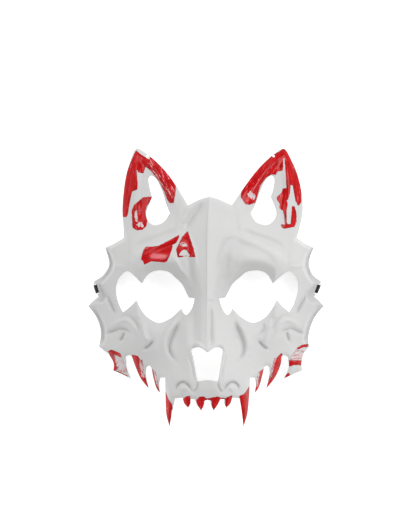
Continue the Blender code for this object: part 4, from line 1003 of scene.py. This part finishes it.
    def folds(self, points: np.ndarray) -> np.ndarray:
        """Height that the ridges and grooves add.

        Args:
            points: Rows of x and y in the even plan.

        Returns:
            Heights. Across a fold, a soft cut falls off as (1 - a) squared times (1 + 2a), and a
            sharp one as (1 - a) squared, where a is the share of the width from its line.
        """
        folded = points * [1, 1]
        folded[:, 0] = np.abs(folded[:, 0])
        total = np.zeros(len(points))
        for _, cut, side, height, width, places in FOLDS:
            line = resample(self.plan(*np.array(places).T), self.edge_spacing)
            gap, _, share = nearest(folded, line, closed=False)
            if side is not BOTH:
                gap = np.where(points[:, 0] * side.value > -0.2 * MM, gap, np.inf)
            across = np.clip(gap / (width * self.fold_width), 0, 1)
            taper = ease(share / self.fold_end) * ease((1 - share) / self.fold_end)
            bump = (1 - across) ** 2 * (1 + (2 * across if cut is SOFT else 0.5 * across))
            total += height * self.fold_height * bump * (self.fold_end + (1 - self.fold_end) * taper)
        return total

    def rounding(self, gap: np.ndarray) -> np.ndarray:
        """How far a rounded edge lies below its face at a distance from the edge."""
        reach = self.edge_radius - np.clip(gap, 0, self.edge_radius)
        return self.edge_radius - np.sqrt(self.edge_radius**2 - reach**2)

    def surface(self, points: np.ndarray) -> tuple[np.ndarray, np.ndarray, np.ndarray]:
        """Heights of the face over the even plan.

        Args:
            points: Rows of x and y.

        Returns:
            The outer surface before its edges are rounded, the lowest that the inner one may be, and
            the distance to the nearest edge.
        """
        height = self.general(points) + self.folds(points)
        nearest_edge = np.full(len(points), np.inf)
        for hole in self.holes:
            gap, numbers, _ = nearest(points, hole)
            nearest_edge = np.minimum(nearest_edge, gap)
            if numbers.shape[1]:
                fall = np.clip(1 - gap / self.socket_width, 0, 1)
                height -= numbers[:, 0] * self.socket_drop * (0.7 * fall + 0.3 * ease(fall))
        gap, numbers, _ = nearest(points, self.outline)
        rim, flange, lift, tab = numbers.T
        height -= (1 - rim) * self.edge_drop * (1 - ease(gap / self.edge_width))
        underside = lift * self.tab_lift
        edge = underside + self.wall
        reach = (gap - self.flat_width(flange, tab)) / self.step
        height = np.maximum(height, edge)
        outer = height * (1 - rim) + rim * (edge + (height - edge) * ease(reach))
        return outer, np.where(reach < 1, rim * underside, 0), np.minimum(nearest_edge, gap)

    def leaned(self, points: np.ndarray) -> np.ndarray:
        """Moves the even model's points across by the moulding's lean.

        Args:
            points: Rows of x, y and z.

        Returns:
            The moved rows.
        """
        rows = np.array(LEAN)[::-1]
        middle, side = hermite(rows[:, 0], rows[:, 1:], points[:, 1] / (self.height / 2)).T
        reach = np.minimum(np.abs(points[:, 0]) / (self.width / 2), 1)
        moved = points.copy()
        moved[:, 0] += (middle + (side - middle) * reach) * self.width / 2
        return moved

    def settled(self, points: np.ndarray) -> np.ndarray:
        """Moves points so that the middle of the leaned outline's box lies over the origin."""
        rim = self.leaned(np.column_stack([self.outline[:, :2], np.zeros(len(self.outline))]))
        middle = (rim[:, :2].min(axis=0) + rim[:, :2].max(axis=0)) / 2
        return points - np.array([*middle, 0])


@dataclass
class MouldedShell:
    """The one moulded piece, with its paint."""

    form: SkullForm
    finish: RubbedPlastic = field(default_factory=RubbedPlastic)
    spacing: float = 0.86 * MM
    steepest: float = 2.2
    ring_shares: tuple[float, ...] = (0.14, 0.45, 1.0)
    ring_clear: float = 0.93
    grid_gap: float = 0.5
    ridge_inset: float = 0.01
    ridge_clear: float = 0.02
    # How far a painted highlight fades in from its edge, in millimetres
    feather: float = 1.6

    def guides(self) -> list[np.ndarray]:
        """Lines that facets follow: the middle ridge and the sharp folds."""
        form, lines = self.form, []
        for upper, lower in ((OUTLINE[0][2], NOSE_HOLE[0][2]), (NOSE_HOLE[-1][2], OUTLINE[-1][2])):
            along = np.array([upper - self.ridge_inset, lower + self.ridge_inset])
            lines.append(resample(form.plan(np.zeros(2), along), self.spacing))
        for _, cut, _, _, _, places in FOLDS:
            if cut is SHARP and min(place[0] for place in places) > self.ridge_clear:
                line = resample(form.plan(*np.array(places).T), self.spacing)
                lines += [line, mirrored(line)]
        return lines

    def scattered(self) -> np.ndarray:
        """Points over the plan: rings beside each edge, and a staggered grid between them.

        Returns:
            Rows of x and y.
        """
        form = self.form
        rows = np.arange(-form.height / 2, form.height / 2, self.spacing * math.sqrt(3) / 2)
        columns = np.arange(-form.width / 2, form.width / 2, self.spacing)
        across, along = np.meshgrid(columns, rows)
        across += 0.5 * self.spacing * (np.arange(len(rows)) % 2)[:, None]
        grid = np.column_stack([across.ravel(), along.ravel()])
        grid = self.kept(grid, form.edge_radius + self.grid_gap * self.spacing)
        for line in self.guides():
            grid = grid[nearest(grid, line, closed=False)[0] > self.grid_gap * self.spacing]
        rings = []
        for share in self.ring_shares:
            depth = share * form.edge_radius
            beside = [offset_inward(form.outline, depth, 1 if turned_area(form.outline) < 0 else -1)]
            for hole in form.holes:
                beside.append(offset_inward(hole, depth, -1 if turned_area(hole) < 0 else 1))
            rings.append(self.kept(np.concatenate(beside), self.ring_clear * depth))
        return np.concatenate([grid, *rings])

    def kept(self, points: np.ndarray, clear: float) -> np.ndarray:
        """The points on the plastic that lie at least a distance from its edges."""
        form = self.form
        good = inside(points, form.outline)
        for hole in form.holes:
            good[good] = ~inside(points[good], hole)
        points = points[good]
        for loop in [form.outline, *form.holes]:
            points = points[nearest(points, loop)[0] > clear]
        return points

    def triangulated(self) -> tuple[np.ndarray, np.ndarray]:
        """Fills the plan with triangles.

        Returns:
            Rows of x and y, and rows of three point numbers.
        """
        points, edges, count = [], [], 0
        for loop in [self.form.outline, *self.form.holes]:
            numbers = count + np.arange(len(loop))
            points.append(loop[:, :2])
            edges.append(np.stack([numbers, np.roll(numbers, -1)], axis=1))
            count += len(loop)
        for line in self.guides():
            line = line[self.clear_of_edges(line)]
            numbers = count + np.arange(len(line))
            points.append(line)
            edges.append(np.stack([numbers[:-1], numbers[1:]], axis=1))
            count += len(line)
        points.append(self.scattered())
        spots, _, faces, _, _, _ = geometry.delaunay_2d_cdt(
            np.concatenate(points).tolist(), np.concatenate(edges).tolist(), [], 0, 1e-7
        )
        spots, faces = np.array([tuple(spot) for spot in spots]), np.array(faces)
        middles = spots[faces].mean(axis=1)
        kept = inside(middles, self.form.outline)
        for hole in self.form.holes:
            kept[kept] = ~inside(middles[kept], hole)
        used, index = np.unique(faces[kept], return_inverse=True)
        return spots[used], index.reshape(-1, 3)

    def clear_of_edges(self, line: np.ndarray) -> np.ndarray:
        """Numbers of the line's longest run of points on the plastic, clear of its edges."""
        good = inside(line, self.form.outline)
        for loop in [self.form.outline, *self.form.holes]:
            good &= nearest(line, loop)[0] > self.form.edge_radius
        for hole in self.form.holes:
            good &= ~inside(line, hole)
        runs = np.split(np.arange(len(line)), np.flatnonzero(np.diff(good)) + 1)
        return max((run for run in runs if good[run[0]]), key=len, default=np.arange(0))

    def steepness(self, points: np.ndarray, faces: np.ndarray) -> np.ndarray:
        """How much deeper than the wall the inner surface lies under each point of a slope."""
        a, b, c = (points[faces[:, i]] for i in range(3))
        face_normals = np.cross(b - a, c - a)
        normals = np.zeros_like(points)
        for corner in range(3):
            np.add.at(normals, faces[:, corner], face_normals)
        return np.minimum(np.linalg.norm(normals, axis=1) / np.maximum(normals[:, 2], 1e-12), self.steepest)

    def paint_layers(self, places: np.ndarray) -> tuple[np.ndarray, np.ndarray, np.ndarray, np.ndarray]:
        """Works out the paint job at places of the finished mask.

        Args:
            places: Rows of x and y in metres.

        Returns:
            How deep inside the paint each place is in millimetres, how far it is rubbed off, how much
            painted highlight lies there, and the place along and across the strokes.
        """
        spots = places[:, :2] / MM
        depth = np.full(len(spots), UNPAINTED)
        wear, painted_glint, angle = (np.zeros(len(spots)) for _ in range(3))
        # rubbed is a patch's wear, and for a painted highlight patch its strength
        for _, coat, brush, rubbed, corners in PAINT:
            loop = np.array(corners)
            gap = nearest(spots, loop)[0] * np.where(inside(spots, loop), 1, -1)
            if coat is BARE:
                depth = np.minimum(depth, -gap)
                continue
            # Painted highlight patches: pink colour that fades in from each edge
            if coat is PAINTED_GLINT:
                painted_glint = np.maximum(painted_glint, rubbed * ease(gap / self.feather))
                continue
            over = gap > (0 if coat is WORN else depth)
            wear = np.where(over, rubbed, wear)
            angle = np.where(over, math.radians(brush), angle)
            depth = np.maximum(depth, gap)
        along = spots[:, 0] * np.cos(angle) + spots[:, 1] * np.sin(angle)
        across = spots[:, 1] * np.cos(angle) - spots[:, 0] * np.sin(angle)
        return depth, wear, painted_glint, np.stack([along, across, 10 * angle], axis=1)

    def build(self) -> bpy.types.Object:
        """Builds the shell: outer surface, inner surface and the walls of every edge.

        Returns:
            The finished object, with the paint's attributes.
        """
        form = self.form
        spots, faces = self.triangulated()
        outer, lowest, gap = form.surface(spots)
        top = form.settled(form.leaned(np.column_stack([spots, outer])))
        a, b, c = (top[faces[:, i]] for i in range(3))
        down = np.cross(b - a, c - a)[:, 2] < 0
        faces[down] = faces[down][:, ::-1]
        below = top.copy()
        below[:, 2] = np.maximum(top[:, 2] - form.wall * self.steepness(top, faces), lowest)
        rounded = form.rounding(gap)
        top[:, 2] -= rounded
        below[:, 2] += np.where(below[:, 2] > 1e-5, rounded, 0.0)
        count = len(top)
        sides = np.concatenate([faces[:, [0, 1]], faces[:, [1, 2]], faces[:, [2, 0]]])
        codes = sides[:, 0] * count + sides[:, 1]
        alone = sides[~np.isin(sides[:, 1] * count + sides[:, 0], codes)]
        walls = np.column_stack([alone[:, 1], alone[:, 0], alone[:, 0] + count, alone[:, 1] + count])
        every = [*faces.tolist(), *(faces[:, ::-1] + count).tolist(), *walls.tolist()]
        piece = mesh_object("moulded_shell", np.concatenate([top, below]), every, self.finish.material(), 50)
        depth, wear, painted_glint, brush = self.paint_layers(top)
        mesh = piece.data
        layers = {
            "paint": np.concatenate([depth, np.full(count, INNER_SIDE)]),
            "wear": np.tile(wear, 2),
            # The painted highlight share, repeated for the inner surface
            "painted_glint": np.tile(painted_glint, 2),
        }
        for name, values in layers.items():
            mesh.attributes.new(name, "FLOAT", "POINT").data.foreach_set("value", values)
        strokes = mesh.attributes.new("brush", "FLOAT_VECTOR", "POINT")
        strokes.data.foreach_set("vector", np.tile(brush, (2, 1)).ravel())
        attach(piece, "root")
        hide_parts("mask_shell")
        return piece


@dataclass
class HeadStrap:
    """The flat elastic from one tab's rail to the other, tucked behind the brow."""

    form: SkullForm
    finish: WovenElastic = field(default_factory=WovenElastic)
    width: float = 6.2 * MM
    thickness: float = 0.28 * MM
    clearance: float = 0.04 * MM
    stitched_end: float = 3.2 * MM
    spacing: float = 0.6 * MM
    ribs: int = 9
    rib_height: float = 0.03 * MM

    def rail_loop(self) -> np.ndarray:
        """The middle line from the stitched end up through the slot, over the rail and back below.

        Returns:
            Rows of x, y and z.
        """
        form = self.form
        slot, _, out = form.slot_frame()
        rail = slot + out * (form.rail + form.slot_width) / 2
        spare = self.clearance + self.thickness / 2
        reach = form.rail / 2 + spare
        under = form.tab_lift - spare
        lower = under - self.thickness - self.clearance
        over = form.tab_lift + form.wall + spare
        corners = np.array([
            (-reach - self.stitched_end, under), (-reach, under), (-reach, over), (reach, over),
            (reach, lower), (-reach - self.stitched_end, lower),
        ])
        line = [corners[:1]]
        bow = np.linspace(0, 1, 7)[:, None]
        for before, corner, after in zip(corners, corners[1:], corners[2:]):
            start = corner + self.thickness * (before - corner) / np.linalg.norm(before - corner)
            end = corner + self.thickness * (after - corner) / np.linalg.norm(after - corner)
            line.append((1 - bow) ** 2 * start + 2 * bow * (1 - bow) * corner + bow**2 * end)
        line = np.concatenate([*line, corners[-1:]])
        return np.column_stack([rail + out * line[:, :1], line[:, 1]])

    def path(self) -> tuple[np.ndarray, np.ndarray]:
        """The middle line of the whole strap, and its width's direction at each point.

        Returns:
            Rows of x, y and z for the places and the directions.
        """
        form = self.form
        _, along, _ = form.slot_frame()
        loop = self.rail_loop()
        rows = np.array(STRAP_ROUTE)
        turn = np.radians(rows[:, 3])
        route = np.column_stack([form.plan(rows[:, 0], rows[:, 1]), rows[:, 2] * self.width, turn])
        behind = resample(np.vstack([[*loop[-1], 0], route]), self.spacing)[1:]
        lying, upright = np.array([*along, 0]), np.array([0, 0, 1])
        places = np.vstack([loop, behind[:, :3]])
        level = np.cross(np.gradient(places, axis=0)[len(loop) :], upright)
        level *= (np.sign(level @ lying) / np.linalg.norm(level, axis=1))[:, None]
        turns = behind[:, 3][:, None]
        widths = np.vstack([np.tile(lying, (len(loop), 1)), level * np.cos(turns) + upright * np.sin(turns)])
        swap = np.array([-1, 1, 1])
        both = [np.concatenate([half, half[-2::-1] * swap]) for half in (places, widths)]
        return both[0], both[1]

    def profile(self) -> np.ndarray:
        """The band's cut, with round edges and a row of low ribs on both faces.

        Returns:
            Rows of the place across and the height, anticlockwise.
        """
        flat = self.width / 2 - self.thickness / 2
        across = np.linspace(-flat, flat, 4 * self.ribs + 1)
        valleys = 0.5 - 0.5 * np.cos(math.pi * self.ribs * (across / flat + 1))
        lift = self.thickness / 2 - self.rib_height * valleys
        turns = np.linspace(90, -90, 7)[1:-1]
        end = self.thickness / 2 * np.stack([np.cos(np.radians(turns)), np.sin(np.radians(turns))], axis=1)
        upper = np.stack([across, lift], axis=1)
        right = end + [flat, 0]
        return np.concatenate([upper, right, -upper, -right])

    def build(self) -> bpy.types.Object:
        """Sweeps the profile along the path.

        Returns:
            The strap, with the UV map strap in millimetres across and along.
        """
        places, widths = self.path()
        tangents = np.gradient(places, axis=0)
        tangents /= np.linalg.norm(tangents, axis=1)[:, None]
        thick = np.cross(tangents, widths)
        thick /= np.linalg.norm(thick, axis=1)[:, None]
        cut = self.profile()
        rings = places[:, None] + widths[:, None] * cut[None, :, :1] + thick[:, None] * cut[None, :, 1:]
        count, sides = rings.shape[:2]
        vertices = self.form.settled(self.form.leaned(rings.reshape(-1, 3)))
        i, j = np.meshgrid(np.arange(count - 1), np.arange(sides), indexing="ij")
        after = (j + 1) % sides
        this, following = i * sides, (i + 1) * sides
        quads = np.stack([following + j, following + after, this + after, this + j], axis=-1)
        faces = quads.reshape(-1, 4).tolist()
        faces += [list(range(sides)), list(range((count - 1) * sides, count * sides))[::-1]]
        piece = mesh_object("elastic_band", vertices, faces, self.finish.material())
        travelled = np.concatenate([[0], np.cumsum(np.linalg.norm(np.diff(places, axis=0), axis=1))])
        place_uv = np.stack([np.tile(cut[:, 0], count), np.repeat(travelled, sides)], axis=1) / MM
        layer = piece.data.uv_layers.new(name="strap")
        corners = np.empty(len(piece.data.loops), dtype=np.int32)
        piece.data.loops.foreach_get("vertex_index", corners)
        layer.data.foreach_set("uv", place_uv[corners].ravel())
        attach(piece, "root")
        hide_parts("head_strap")
        return piece


@dataclass
class Studio:
    """A pale floor under soft light, with the camera straight above the face."""

    floor: PaleFloor = field(default_factory=PaleFloor)
    view_width: float = 301.3 * MM
    view_middle: tuple[float, float] = (1.8 * MM, 19.7 * MM)
    distance: float = 6.0
    sensor: float = 36.0
    sky_horizon: float = 0.85
    sky_zenith: float = 0.32

    def build_floor(self) -> None:
        """Lays the floor, a little below the rim so that they don't touch."""
        side = np.array([(-1.0, -1.0), (1.0, -1.0), (1.0, 1.0), (-1.0, 1.0)]) * 3
        vertices = np.column_stack([side, np.full(4, -0.05 * MM)])
        floor = mesh_object("studio_floor", vertices, [[0, 1, 2, 3]], self.floor.material())

    def build_camera(self) -> None:
        """Hangs the camera over the middle of the view with a long lens, looking down, +Y up."""
        lens = bpy.data.cameras.new("camera")
        lens.sensor_fit = "HORIZONTAL"
        lens.sensor_width = self.sensor
        lens.lens = self.sensor * self.distance / self.view_width
        lens.clip_end = 4 * self.distance
        camera = bpy.data.objects.new("camera", lens)
        camera.location = (*self.view_middle, self.distance)
        bpy.context.scene.collection.objects.link(camera)
        bpy.context.scene.camera = camera

    def build_lights(self) -> None:
        """Sets a white sky that is darker overhead, and soft lamps at the sides.

        The sky's strength falls from the horizon to straight overhead with the direction's height.
        """
        world = bpy.data.worlds.new("studio")
        world.use_nodes = True
        tree = world.node_tree
        way = add_node(tree, "SeparateXYZ", {0: add_node(tree, "TexCoord").outputs["Generated"]})
        strength = add_node(
            tree, "MapRange",
            {"Value": way.outputs["Z"], "From Min": 0.25, "From Max": 0.85, "To Min": self.sky_horizon,
             "To Max": self.sky_zenith},
        )
        sky = tree.nodes["Background"]
        sky.inputs["Color"].default_value = (1, 1, 1, 1)
        tree.links.new(strength.outputs[0], sky.inputs["Strength"])
        bpy.context.scene.world = world
        lamps = (
            # name, watts, side, place, aim
            ("right_softbox", 13.5, 1.0, (0.90, 0.45, 1.30), (0, 0, 0)),
            ("left_softbox", 7.5, 1.0, (-0.70, 0.60, 1.35), (0, 0, 0)),
        )
        for name, watts, side, place, aim in lamps:
            light = bpy.data.lights.new(name, "AREA")
            light.energy = watts
            light.size = side
            lamp = bpy.data.objects.new(name, light)
            lamp.location = place
            direction = np.array(aim) - np.array(place)
            flat = math.hypot(direction[0], direction[1])
            heading = math.atan2(direction[1], direction[0])
            lamp.rotation_euler = (math.atan2(flat, -direction[2]), 0, heading - math.pi / 2)
            bpy.context.scene.collection.objects.link(lamp)

    def build(self) -> None:
        """Builds floor, camera and lights, and sets the plain view transform."""
        self.build_floor()
        self.build_camera()
        self.build_lights()
        bpy.context.scene.view_settings.view_transform = "Standard"


def report(piece: bpy.types.Object) -> None:
    """Logs a piece's size in triangles."""
    piece.data.calc_loop_triangles()
    LOG.info("%s: %d triangles", piece.name, len(piece.data.loop_triangles))


def main() -> None:
    """Builds the mask, its strap and the studio."""
    logging.basicConfig(level=logging.INFO)
    Studio().build()
    form = SkullForm()
    for part in (MouldedShell(form), HeadStrap(form)):
        report(part.build())


if __name__ == "__main__":
    main()
